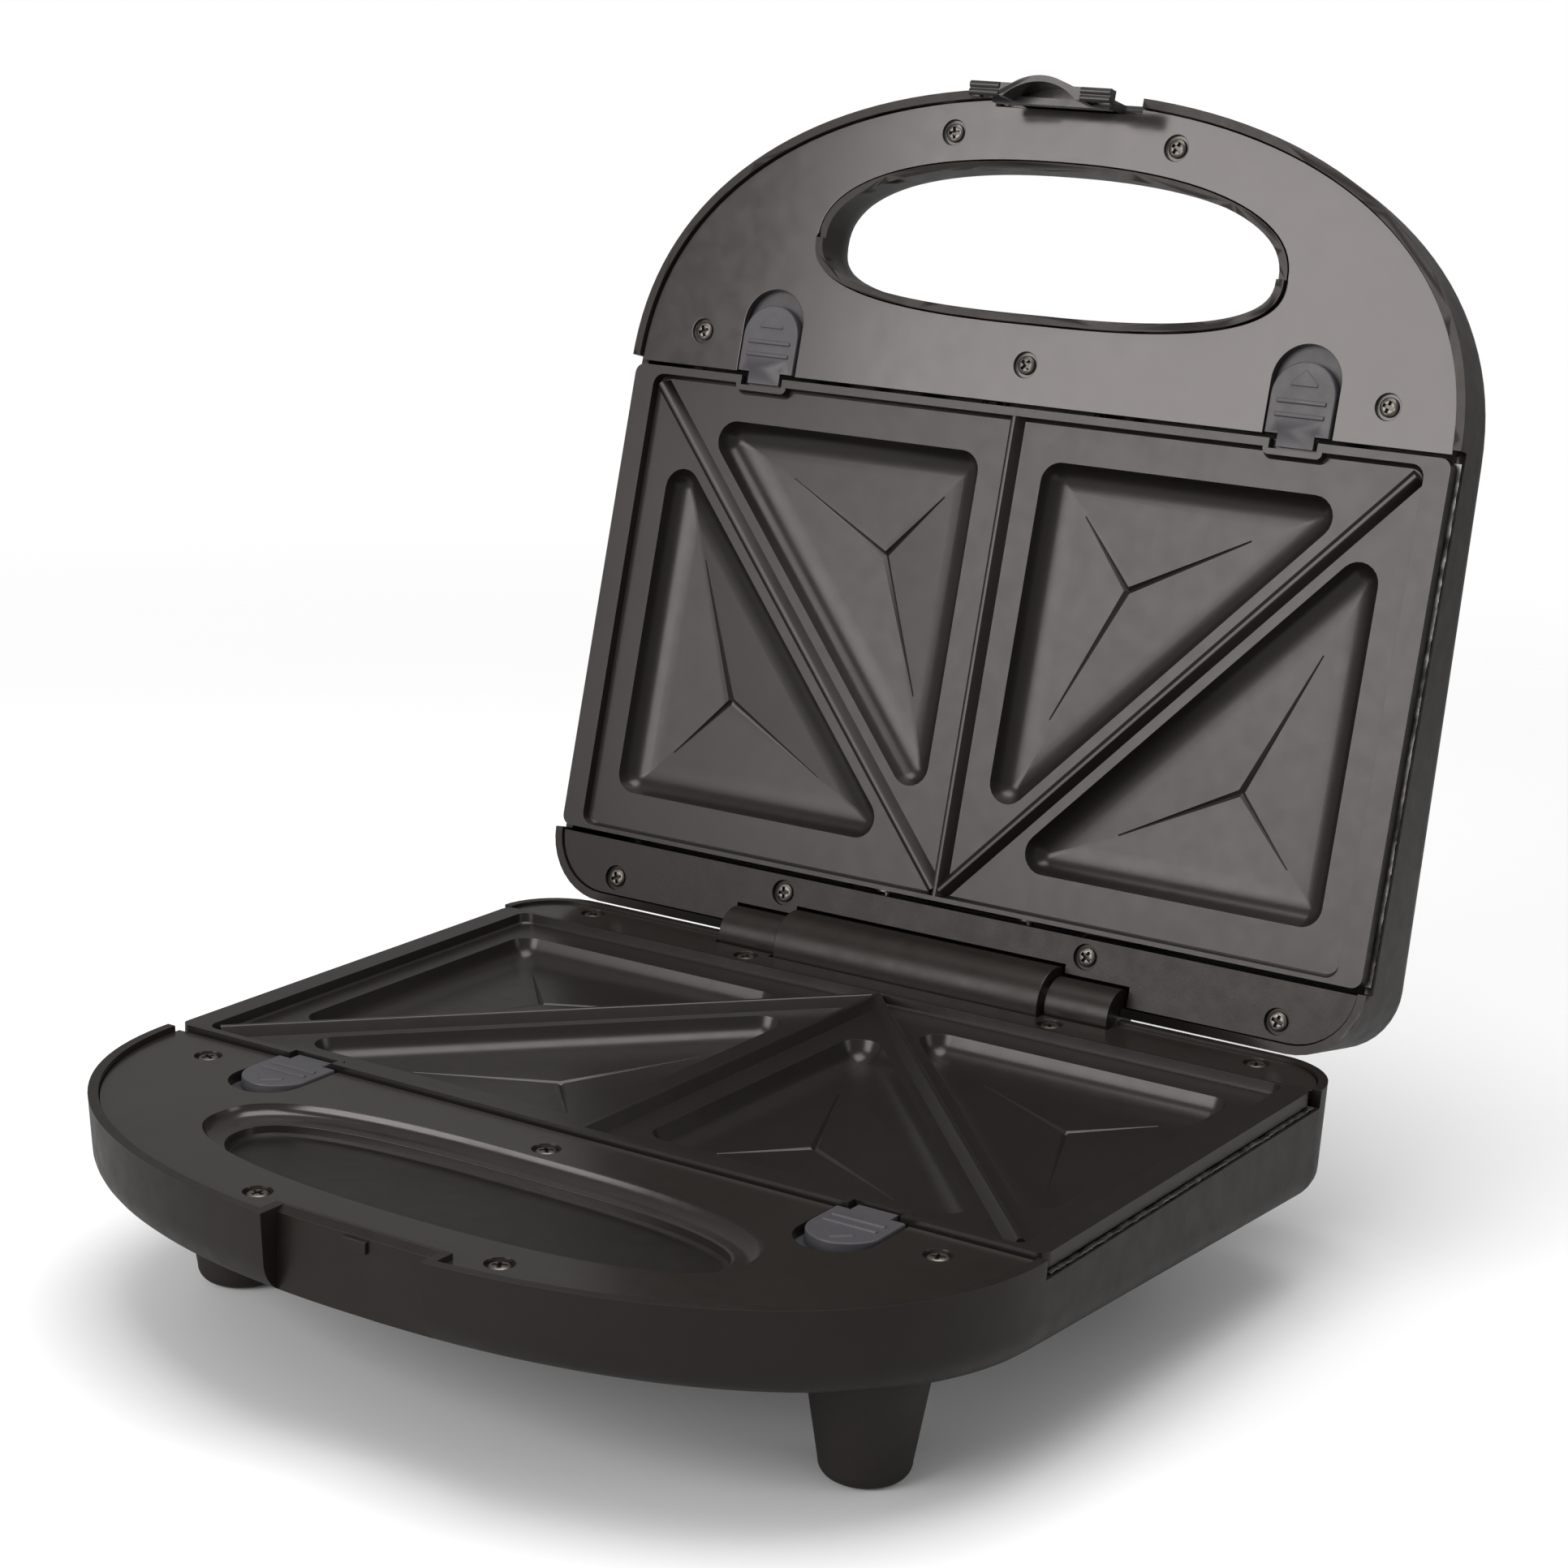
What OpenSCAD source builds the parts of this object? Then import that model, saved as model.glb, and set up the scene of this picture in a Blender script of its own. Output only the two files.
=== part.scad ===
// Two-slice sandwich toaster with a hinged lid and two lift-out cooking plates.
// The lid stands open on its stop. Base and lid are near mirror images of each
// other about the parting plane, so most pieces are drawn once, for a half whose
// height n grows away from that plane, and then put on the base or on the lid.
// Across a half, x = 0 is the middle and y = 0 is the front edge of its plate.

/* [Body] */
// Width over the two side walls at the parting plane
body_w = 225.6; // [222:0.2:232]
// Reach of the rounded front past the plate's front edge
front_reach = 76; // [74:0.5:80]
// Power of the front curve: 2 is an ellipse, more is squarer
front_power = 2.22; // [2.1:0.02:2.5]
// Distance from the plate's front edge to the rear wall
rear_edge = 137; // [136:0.5:142]
// Radius of the two rear corners, seen from above
rear_corner_r = 17; // [12:0.5:22]
// Thickness of the housing walls
wall = 2.2; // [1.8:0.1:2.6]
// Radius of the rounded outer edges
edge_r = 8; // [6:0.5:9]
// Inward lean of the side walls, in millimetres per millimetre of height
draft = 0.08; // [0.04:0.01:0.1]

/* [Heights] */
// Height of the parting plane above the table
parting_z = 49; // [46:0.5:56]
// Depth of the base at its front
base_front_h = 18.2; // [18:0.1:22]
// Depth of the base at its rear
base_rear_h = 28; // [28:0.5:31]
// Height of the lid at its front
lid_front_h = 17.5; // [17:0.5:20]
// Height of the lid at its rear
lid_rear_h = 31; // [30:0.5:33]
// Half of the gap between the closed halves
half_gap = 0.3; // [0.2:0.05:0.5]
// Drop of the side walls beside the plate
side_step = 4.5; // [4.4:0.1:5]

/* [Plates] */
// Width of a cooking plate over its rim
plate_w = 222; // [220:0.5:223]
// Depth of a cooking plate, front to back
plate_d = 119.3; // [119:0.1:119.6]
// Depth of the flat field below the parting plane
field_n = 2.8; // [2.4:0.1:3]
// Depth of the pocket floors below the parting plane
pocket_n = 7.3; // [6.8:0.1:7.4]
// Thickness of the cast aluminium
plate_wall = 2; // [1.6:0.1:2.1]

/* [Handle] */
// Half width of the handle hole
hole_half_w = 63.5; // [60:0.5:65]
// Reach of the handle hole forward of its widest line
hole_front = 22.7; // [20:0.1:23]
// Reach of the handle hole back from its widest line
hole_back = 15.8; // [14:0.1:16.5]
// Distance of its widest line from the plate's front edge
hole_y = 36; // [35:0.5:38]

/* [Motion] */
// How far the lid stands open
open_angle = 104; // [96:0.5:104]
// Travel of a plate release button
button_travel = 3.6; // [3:0.1:3.8]

/* [Hidden] */

$fn = 48;
far = 400;
slab = 0.01;
half_w = body_w / 2;
curve_steps = 44;
corner_steps = 6;

// Hinge: one axis along x, at the rear edge on the parting plane
hinge_y = rear_edge - 0.1;
barrel_r = 8.6;
barrel_half = 36.8;
barrel_gap = 0.8;
knuckle_r = 6.5;
knuckle_x0 = 37.6;
knuckle_x1 = 54;
barrel_block_n = 12;
hinge_pin_r = 2;
hinge_bush_r = 4;
bush_bore_r = 2.6;
pin_x0 = 25;
pin_x1 = 50;
pin_fit = 0.05;
barrel_hollow = 22;
barrel_hollow_r = 5.4;
stop_half = 30;
stop_reach = 5;
stop_n = 3;
duct_half = 10;
duct_y = 130.4;
knuckle_duct_y = 130;
knuckle_duct_w = 3.9;
knuckle_duct_n = 11;
duct_depth = 3.6;
axis_relief = 1.6;

// Panels
panel_n = 1.5;
panel_t = 2.2;
panel_gap = 0.3;
panel_back = -1;
rear_panel_y = 120.7;
rear_panel_n = 1;
recess_step = [67.2, 21.2, 21.2];
recess_well = [61, 19.5, 15.5];
step_depth = 1.9;
well_depth = 7.2;
recess_wall = 1.8;

// Screws: places, head and shank
side_screw = [93.3, -10];
latch_screw = [30.1, -64.3];
mid_screw = [0, -10.4];
rear_outer_screw = [92.3, 130.2];
rear_inner_screw = [42.3, 125];
head_r = 2.9;
head_h = 0.9;
head_seat = 1.1;
shank_r = 1.42;
shank_hole = 1.5;
shank_l = 10;
boss_r = 3.3;

// Release buttons
button_x = 72.6;
slot_w = 17.3;
slot_apex = -22.2;
button_w = 16.2;
button_back = -1.3;
button_n = 1;
button_h = 3.2;
button_skin = 1.4;
guide_t = 1.6;
guide_n = panel_n + panel_t + 0.3;
guide_back = -2.5;
seat_h = 4.6;
tongue_half = 4.6;
tongue_y = 1.7;
tongue_n = 2.2;
guide_front = -16;
guide_half = 9.8;
rail_y = -3;
rail_l = 17;
seat_y = -27;
spring_n = 6.4;
spring_r = 1.9;
wire_r = 0.3;

// Plate: rim, ridges and pockets
rim_n = half_gap;
flange_n = 3.5;
skirt_n = 9.5;
body_half = 106.5;
body_y0 = 1.5;
body_y1 = 117.8;
rim_side = 6.4;
rim_front = 2.6;
rim_rear = 1.6;
ridge_base = 2.1;
ridge_top = 0.45;
ridge_start = [103, 4.5];
ridge_end = [1, 116.7];
ridge_len = norm(ridge_start - ridge_end);
ridge_normal = [ridge_end.y - ridge_start.y, ridge_start.x - ridge_end.x] / ridge_len;
ridge_c = ridge_normal * ridge_start;
land = 4.6;
inner_x = 8.7;
inner_y = 11.5;
outer_x = 97.7;
outer_y = 108.3;
pocket_slope = 6.5;
pocket_r = 5;
notch_w = 12;
notch_d = 2.3;
tab_x = 70;
tab_w = 16;
tab_y = 122.6;
tab_n = 4.2;
tab_t = 1.4;

// Reflector trays and heating elements
tray_half = 107.4;
tray_y0 = 0.6;
tray_y1 = 118.6;
tray_top = 3.85;
tray_n = 18.6;
tray_low_half = 104;
tray_bend = 10.5;
sheet = 0.5;
tray_flange = 112;
tube_r = 3.25;
tube_n = 13.4;
loop_half = 82;
loop_y0 = 20;
loop_y1 = 98;
bend_r = 14;
lead_x = 20;
lead_y = 123;

// Latch, on the lid's front
latch_y = -72.4;
latch_n = 8;
latch_half = 18.75;
latch_pin_r = 1.2;
latch_pin_half = 25.6;
latch_barrel_r = 2.2;
lever_out = -74.2;
lever_in = -71.8;
lever_n = -13.5;
hook_in = -70.6;
hook_n = -5;
hook_h = 2.4;
catch_out = -71.4;
catch_half = 3;
notch_half = 19.7;
notch_y = -70.2;
latch_window_n = 13.5;
latch_window_half = 20.2;
latch_ear_y = -68.6;
latch_stop_y = -71.3;
dome_half = 10;
dome_rise = 2.2;

// Feet
foot_x = 81;
foot_front_y = -13.5;
foot_rear_x = 66;
foot_rear_y = 108;
foot_places = [
  [-foot_x, foot_front_y], [foot_x, foot_front_y],
  [-foot_rear_x, foot_rear_y], [foot_rear_x, foot_rear_y]
];
foot_top_r = 14;
foot_low_r = 9.2;
foot_flat_r = 6.5;
foot_round = 3.4;
foot_base_n = 18;
spigot_n = 20;
spigot_r = 4;

// Insulated leads: their radii, and the number of sides of their section
lead_r = 0.9;
thin_lead_r = 0.5;
sleeve_r = 1.4;
lead_sides = 8;

// Cord gland in the rear wall
gland_x = -78;
gland_n = 14;
gland_bore_r = 3.3;
gland_body_r = 5.5;
gland_flange_r = 7.2;
gland_y0 = 127.8;
gland_y1 = 139.2;
gland_pad_r = 8.6;

// Indicator lamps in the lid's top
lamp_x = 14;
lamp_y = -9;
lens_r = 3.4;
lens_rise = 1;

// The object's box at rest is centred on the origin in x and y, so the halves
// are moved by y_shift: the front is the base's front, and the rear is the
// furthest point of the open lid, which lies on its rounded top front edge.
lid_tilt = atan((lid_rear_h - lid_front_h) / (front_reach + rear_edge));
lid_rim_points = [
  for (a = [0:18:90])
    [
      -front_reach + cos(lid_tilt) * rounded_inset(lid_front_h, 0, a),
      lid_front_h - edge_r * (1 - sin(a)) + sin(lid_tilt) * rounded_inset(lid_front_h, 0, a)
    ]
];
lid_rear_reach = max([
  for (p = lid_rim_points) hinge_y + (p.x - hinge_y) * cos(open_angle) + p.y * sin(open_angle)
]);
y_shift = (front_reach - lid_rear_reach) / 2;

// How far a level of the rounded edge stands in from the parting outline: a is
// the angle round the edge, 0 where the wall ends and 90 on the flat
function rounded_inset(h, skin, a) = skin + draft * (h - edge_r) + (edge_r - skin) * (1 - cos(a));

// Superelliptic half curve from +a round the front to -a
function front_curve(a, b, power) = [
  for (i = [0:curve_steps])
    let (t = 180 * i / curve_steps)
      [sign(cos(t)) * a * pow(abs(cos(t)), 2 / power), -b * pow(sin(t), 2 / power)]
];

// Outline of the body at the parting plane, drawn in by an inset
function body_points(inset) = concat(
  front_curve(half_w - inset, front_reach - inset, front_power),
  [
    for (i = [0:corner_steps])
      let (a = 180 - 90 * i / corner_steps, r = max(rear_corner_r - inset, 0.5))
        [-(half_w - inset - r) + r * cos(a), rear_edge - inset - r + r * sin(a)]
  ],
  [
    for (i = [0:corner_steps])
      let (a = 90 - 90 * i / corner_steps, r = max(rear_corner_r - inset, 0.5))
        [half_w - inset - r + r * cos(a), rear_edge - inset - r + r * sin(a)]
  ]
);

// Oval of the handle hole and of the finger recess: blunt in front, flatter behind
function oval_points(a, front_b, back_b) = concat(
  [for (p = front_curve(a, front_b, 2.3)) [p.x, p.y - hole_y]],
  [for (p = front_curve(-a, -back_b, 2.75)) [p.x, p.y - hole_y]]
);

// Corners of a pocket on the right, drawn in by d: the inner one lies between the
// middle and the slanting ridge, the outer one between that ridge and the corner
function inner_corners(d) =
  let (c = ridge_c - land - d, x = inner_x + d, y = inner_y + d)
    [
      [x, y],
      [(c - ridge_normal.y * y) / ridge_normal.x, y],
      [x, (c - ridge_normal.x * x) / ridge_normal.y],
    ];
function outer_corners(d) =
  let (c = ridge_c + land + d, x = outer_x - d, y = outer_y - d)
    [
      [x, y],
      [(c - ridge_normal.y * y) / ridge_normal.x, y],
      [x, (c - ridge_normal.x * x) / ridge_normal.y],
    ];

// Triangle round three arc centres, its corners rounded to a radius
function rounded_triangle(centres, r) = [
  for (i = [0:2])
    let (
      here = centres[i],
      from = here - centres[(i + 2) % 3],
      to = centres[(i + 1) % 3] - here,
      start = atan2(-from.x, from.y),
      turn = (atan2(-to.x, to.y) - start + 720) % 360
    )
      for (k = [0:corner_steps])
        here + r * [cos(start + turn * k / corner_steps), sin(start + turn * k / corner_steps)]
];

// Centre and radius of the circle inside a triangle
function sides(c) = [norm(c[2] - c[1]), norm(c[0] - c[2]), norm(c[1] - c[0])];
function incentre(c) = sides(c) * c / (sides(c) * [1, 1, 1]);
function inradius(c) = norm(cross([each (c[1] - c[0]), 0], [each (c[2] - c[0]), 0])) / (sides(c) * [1, 1, 1]);

// Puts a half drawn at the parting plane onto the standing base
module on_base() {
  translate([0, y_shift, parting_z])
    mirror([0, 0, 1])
      children();
}

// Puts a half drawn at the parting plane onto the open lid
module on_lid() {
  translate([0, y_shift + hinge_y, parting_z])
    rotate([-open_angle, 0, 0])
      translate([0, -hinge_y, 0])
        children();
}

module both_sides() {
  children();
  mirror([1, 0, 0])
    children();
}

// A bar along x between two heights of it, about an axis at y and n
module x_bar(x0, x1, y, n, r) {
  translate([x0, y, n])
    rotate([0, 90, 0])
      cylinder(r = r, h = x1 - x0);
}

// A bar along y between two distances
module y_bar(x, y0, y1, n, r) {
  translate([x, y0, n])
    rotate([-90, 0, 0])
      cylinder(r = r, h = y1 - y0);
}

module rounded_rect(x0, y0, x1, y1, r) {
  translate([x0 + r, y0])
    square([x1 - x0 - 2 * r, y1 - y0]);
  translate([x0, y0 + r])
    square([x1 - x0, y1 - y0 - 2 * r]);
  for (x = [x0 + r, x1 - r], y = [y0 + r, y1 - r])
    translate([x, y])
      circle(r = r);
}

// The closed solid of one half out to its skin, with rounded outer edges
module half_solid(front_h, rear_h, skin) {
  tilt = atan((rear_h - front_h) / (front_reach + rear_edge));
  hull() {
    translate([0, 0, -1])
      linear_extrude(slab)
        polygon(body_points(skin - draft));
    for (a = [0:18:90])
      translate([0, -front_reach, front_h - skin - (edge_r - skin) * (1 - sin(a))])
        rotate([tilt, 0, 0])
          translate([0, front_reach, -slab])
            linear_extrude(slab)
              polygon(body_points(rounded_inset(front_h, skin, a)));
  }
}

// What the side steps and the gap at the parting plane take off a half
module parting_cuts() {
  translate([-far, -far, -2])
    cube([2 * far, 2 * far, 2 + half_gap]);
  translate([-far, -2, -2])
    cube([2 * far, 122.3, 2 + side_step]);
  x_bar(-far, far, hinge_y, 0, axis_relief);
}

module at_screws() {
  both_sides() {
    for (p = [side_screw, latch_screw])
      translate(p)
        children();
  }
  translate(mid_screw)
    children();
}

module at_rear_screws() {
  both_sides() {
    for (p = [rear_outer_screw, rear_inner_screw])
      translate(p)
        children();
  }
}

// Posts that the panel screws bite into, open to the panels
module screw_posts() {
  at_screws()
    translate([0, 0, panel_n + panel_t + 0.1])
      cylinder(r = boss_r, h = far);
  at_rear_screws()
    translate([0, 0, rear_panel_n + panel_t + 0.1])
      cylinder(r = boss_r, h = far);
}

module screw_bores() {
  at_screws()
    translate([0, 0, panel_n])
      cylinder(r = shank_hole, h = shank_l + 2);
  at_rear_screws()
    translate([0, 0, rear_panel_n])
      cylinder(r = shank_hole, h = shank_l + 2);
}

// One self-tapping screw with a cross recess, its head flush with a panel's face
module screw(face_n) {
  translate([0, 0, face_n + 0.15])
    difference() {
      union() {
        cylinder(r = head_r, h = head_h);
        cylinder(r = shank_r, h = shank_l);
      }
      for (a = [0, 90])
        rotate(a)
          translate([-1.6, -0.35, -slab])
            cube([3.2, 0.7, 0.5]);
    }
}

module panel_screws() {
  color("dimgray") {
    at_screws()
      screw(panel_n);
    at_rear_screws()
      screw(rear_panel_n);
  }
}

// Duct that leads the wires from the base up into the hollow barrel
module wire_duct() {
  translate([-duct_half, duct_y, 0])
    cube([2 * duct_half, duct_depth, barrel_block_n + 2]);
}

// The hinge barrel stands up from the base between the lid's two knuckles
module hinge_barrel() {
  difference() {
    union() {
      x_bar(-barrel_half, barrel_half, hinge_y, 0, barrel_r);
      intersection() {
        translate([-barrel_half, hinge_y - barrel_r, 0])
          cube([2 * barrel_half, barrel_r, barrel_block_n]);
        half_solid(base_front_h, base_rear_h, wall / 2);
      }
      translate([0, hinge_y, 0])
        rotate([open_angle - 90 - atan(draft), 0, 0])
          translate([-stop_half, barrel_r - 1, 0.5])
            cube([2 * stop_half, stop_reach + 1, stop_n]);
    }
    x_bar(-barrel_half - 1, 0, hinge_y, 0, hinge_pin_r + pin_fit);
    x_bar(0, barrel_half + 1, hinge_y, 0, hinge_bush_r + pin_fit);
    x_bar(-barrel_hollow, barrel_hollow, hinge_y, 0, barrel_hollow_r);
    wire_duct();
  }
}

module lower_housing() {
  color([0.12, 0.11, 0.11])
    on_base() {
      difference() {
        union() {
          difference() {
            half_solid(base_front_h, base_rear_h, 0);
            half_solid(base_front_h, base_rear_h, wall);
            translate([-notch_half, -far + notch_y, -2])
              cube([2 * notch_half, far, far]);
          }
          intersection() {
            half_solid(base_front_h, base_rear_h, wall / 2);
            union() {
              screw_posts();
              translate([-notch_half - wall, notch_y, half_gap])
                cube([2 * (notch_half + wall), wall, far]);
              for (x = [-notch_half - wall, notch_half])
                translate([x, -far, half_gap])
                  cube([wall, far + notch_y, far]);
              for (place = foot_places)
                translate([place.x, place.y, spigot_n + 0.5])
                  cylinder(r = spigot_r + 2.4, h = far);
              translate([-66, 123.3, 20.1])
                cube([16, 7, far]);
            }
          }
          translate([-catch_half, catch_out, 2])
            cube([2 * catch_half, notch_y - catch_out + 0.5, 2.6]);
          y_bar(gland_x, 130, rear_edge, gland_n, gland_pad_r);
        }
        parting_cuts();
        screw_bores();
        for (place = foot_places)
          translate([place.x, place.y, 15])
            cylinder(r = spigot_r + 0.1, h = 30);
        y_bar(gland_x, 120, 145, gland_n, gland_body_r + 0.1);
        x_bar(-barrel_half, barrel_half, hinge_y, 0, barrel_r - 0.5);
        wire_duct();
        both_sides()
          x_bar(barrel_half - 0.4, knuckle_x1 + 0.6, hinge_y, 0, knuckle_r + 0.6);
      }
      hinge_barrel();
    }
}

// Front panel of a half, round a hole or round the finger recess
module front_panel_plate() {
  difference() {
    translate([0, 0, panel_n])
      linear_extrude(panel_t)
        intersection() {
          polygon(body_points(wall + panel_gap));
          translate([-far, -far + panel_back])
            square([2 * far, far]);
        }
    both_sides()
      translate([button_x, 0, 0])
        linear_extrude(far)
          arch(slot_w, slot_apex, 1);
    at_screws()
      cylinder(r = head_r + 0.2, h = panel_n + head_seat);
    at_screws()
      cylinder(r = shank_hole, h = far);
  }
  both_sides() {
    translate([button_x - 4, seat_y - 2, panel_n + panel_t - slab])
      cube([8, 1.9, seat_h]);
    for (side = [-1, 1])
      translate([button_x, rail_y, panel_n + panel_t])
        rotate([90, 0, 0])
          linear_extrude(rail_l)
            polygon([
              [side * (guide_half + 0.4), -slab],
              [side * (guide_half + 1.8), -slab],
              [side * (guide_half + 1.8), 3.6],
              [side * (guide_half - 1.4), 3.6],
              [side * (guide_half - 1.4), 2.3],
              [side * (guide_half + 0.4), 2.3]
            ]);
  }
}

// An arch on the plate side of x = 0: square at the back, round in front
module arch(w, apex, back) {
  translate([-w / 2, apex + w / 2])
    square([w, back - apex - w / 2]);
  translate([0, apex + w / 2])
    circle(d = w);
}

module lower_front_panel() {
  color([0.2, 0.19, 0.19])
    on_base()
      difference() {
        union() {
          front_panel_plate();
          translate([0, 0, panel_n + 0.5])
            linear_extrude(step_depth + panel_t + 0.1)
              polygon(oval_points(recess_step[0], recess_step[1], recess_step[2]));
          translate([0, 0, panel_n + 0.5])
            linear_extrude(well_depth + 1.4)
              polygon(oval_points(
                recess_well[0] + recess_wall, recess_well[1] + recess_wall, recess_well[2] + recess_wall
              ));
        }
        linear_extrude(panel_n + step_depth)
          polygon(oval_points(recess_step[0] - 0.3, recess_step[1] - 0.3, recess_step[2] - 0.3));
        linear_extrude(panel_n + well_depth)
          polygon(oval_points(recess_well[0], recess_well[1], recess_well[2]));
        translate([-notch_half - wall - 0.2, -far + notch_y + wall + 0.2, -1])
          cube([2 * (notch_half + wall + 0.2), far, far]);
      }
}

module upper_front_panel() {
  color([0.27, 0.25, 0.25])
    on_lid()
      difference() {
        front_panel_plate();
        linear_extrude(far)
          polygon(oval_points(hole_half_w + 0.2, hole_front + 0.2, hole_back + 0.2));
        translate([-notch_half, -far + latch_stop_y, -1])
          cube([2 * notch_half, far, far]);
        both_sides()
          translate([notch_half - 1, -far + latch_ear_y, -1])
            cube([8, far, far]);
      }
}

// Strip behind the plate, cut round the hinge barrel and the knuckles
module rear_panel_plate() {
  difference() {
    translate([0, 0, rear_panel_n])
      linear_extrude(panel_t)
        intersection() {
          polygon(body_points(wall + panel_gap));
          translate([-far, rear_panel_y])
            square([2 * far, far]);
        }
    x_bar(-far, far, hinge_y, 0, axis_relief + 0.6);
    x_bar(-knuckle_x0, knuckle_x0, hinge_y, 0, barrel_r + barrel_gap);
    both_sides()
      x_bar(barrel_half, knuckle_x1 + 0.8, hinge_y, 0, knuckle_r + 0.8);
    at_rear_screws()
      cylinder(r = head_r + 0.2, h = rear_panel_n + head_seat);
    at_rear_screws()
      cylinder(r = shank_hole, h = far);
  }
}

module lower_rear_panel() {
  color([0.17, 0.16, 0.16])
    on_base()
      rear_panel_plate();
}

module upper_rear_panel() {
  color([0.22, 0.21, 0.2])
    on_lid()
      rear_panel_plate();
}

module upper_housing() {
  color([0.12, 0.11, 0.11])
    on_lid()
      difference() {
        union() {
          difference() {
            union() {
              difference() {
                half_solid(lid_front_h, lid_rear_h, 0);
                half_solid(lid_front_h, lid_rear_h, wall);
              }
              intersection() {
                half_solid(lid_front_h, lid_rear_h, wall / 2);
                union() {
                  screw_posts();
                  linear_extrude(far)
                    polygon(oval_points(hole_half_w, hole_front, hole_back));
                  both_sides()
                    translate([notch_half, latch_y - 4, latch_n - 4])
                      cube([6.5, 7, 8]);
                }
              }
            }
            parting_cuts();
          }
          intersection() {
            half_solid(lid_front_h, lid_rear_h, wall / 2);
            both_sides()
              translate([knuckle_x0, hinge_y - knuckle_r + 0.6, half_gap + 0.2])
                cube([knuckle_x1 - knuckle_x0 - 0.2, knuckle_r, 14]);
          }
          both_sides()
            x_bar(knuckle_x0, knuckle_x1, hinge_y, 0, knuckle_r);
        }
        translate([0, 0, -1])
          linear_extrude(far)
            polygon(oval_points(hole_half_w - 2, hole_front - 2, hole_back - 2));
        screw_bores();
        translate([-latch_window_half, -far + notch_y, -1])
          cube([2 * latch_window_half, far, 1 + latch_window_n]);
        x_bar(-latch_pin_half, latch_pin_half, latch_y, latch_n, latch_pin_r + pin_fit);
        x_bar(-knuckle_x0, knuckle_x0, hinge_y, 0, barrel_r + barrel_gap);
        x_bar(-pin_x1 - 0.5, -knuckle_x0 + 1, hinge_y, 0, hinge_pin_r + pin_fit);
        x_bar(knuckle_x0 - 1, pin_x1 + 0.5, hinge_y, 0, hinge_bush_r + pin_fit);
        translate([pin_x1 + 0.5 - knuckle_duct_w, knuckle_duct_y, 0])
          cube([knuckle_duct_w, hinge_y - knuckle_duct_y, knuckle_duct_n]);
        for (x = [-lamp_x, lamp_x])
          translate([x, lamp_y, 12])
            cylinder(r = lens_r + 0.1, h = 20);
      }
}

// Cast plate: rim, flat field, three ridges and four pockets
module pocket_solid(centres, grow, top, bottom) {
  middle = incentre(centres);
  reach = inradius(centres) + pocket_r + grow;
  translate([middle.x, middle.y, top])
    linear_extrude(bottom - top, scale = (reach - pocket_slope) / reach)
      translate(-middle)
        polygon(rounded_triangle(centres, pocket_r + grow));
}

module pockets(grow, top, bottom) {
  both_sides() {
    pocket_solid(inner_corners(pocket_r), grow, top, bottom);
    pocket_solid(outer_corners(pocket_r), grow, top, bottom);
  }
}

// A ridge of triangular section between two points of the field
module ridge(from, to) {
  run = to - from;
  translate([from.x, from.y, 0])
    rotate([0, 0, atan2(run.y, run.x)])
      rotate([90, 0, 90])
        linear_extrude(norm(run))
          polygon([
            [-ridge_base, field_n + 0.2],
            [-ridge_top, rim_n],
            [ridge_top, rim_n],
            [ridge_base, field_n + 0.2]
          ]);
}

module cooking_plate() {
  difference() {
    union() {
      difference() {
        union() {
          translate([0, 0, rim_n])
            linear_extrude(flange_n - rim_n)
              rounded_rect(-plate_w / 2, 0, plate_w / 2, plate_d, 2.5);
          translate([0, 0, flange_n - slab])
            linear_extrude(skirt_n - flange_n)
              rounded_rect(-body_half, body_y0, body_half, body_y1, 4);
        }
        linear_extrude(field_n)
          rounded_rect(
            -plate_w / 2 + rim_side, rim_front,
            plate_w / 2 - rim_side, plate_d - rim_rear, 3
          );
        translate([0, 0, field_n + plate_wall + 0.2])
          linear_extrude(far)
            rounded_rect(-body_half + 2, body_y0 + 2, body_half - 2, body_y1 - 2, 3);
      }
      both_sides()
        translate([button_x - notch_w / 2 - rim_front, 0, rim_n])
          cube([notch_w + 2 * rim_front, notch_d + 2, flange_n - rim_n]);
      ridge([0, rim_front - 0.5], [0, plate_d - rim_rear + 0.3]);
      both_sides()
        ridge(ridge_start, ridge_end);
      pockets(plate_wall, field_n + 0.1, pocket_n + plate_wall);
      both_sides()
        translate([tab_x - tab_w / 2, body_y1 - 1, tab_n - tab_t / 2])
          cube([tab_w, tab_y - body_y1 + 1, tab_t]);
    }
    pockets(0, field_n - 0.05, pocket_n);
    both_sides()
      translate([button_x - notch_w / 2, -1, -1])
        cube([notch_w, 1 + notch_d, 1 + tongue_n + 0.3]);
  }
}

module lower_cooking_plate() {
  color([0.25, 0.24, 0.23])
    on_base()
      cooking_plate();
}

module upper_cooking_plate() {
  color([0.38, 0.36, 0.35])
    on_lid()
      cooking_plate();
}

// Section of the tray across x, drawn in by the sheet's thickness
module tray_section(inset) {
  polygon([
    [tray_half - inset, tray_top - inset],
    [tray_half - inset, tray_bend],
    [tray_low_half - inset, tray_n - inset],
    [-tray_low_half + inset, tray_n - inset],
    [-tray_half + inset, tray_bend],
    [-tray_half + inset, tray_top - inset]
  ]);
}

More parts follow.
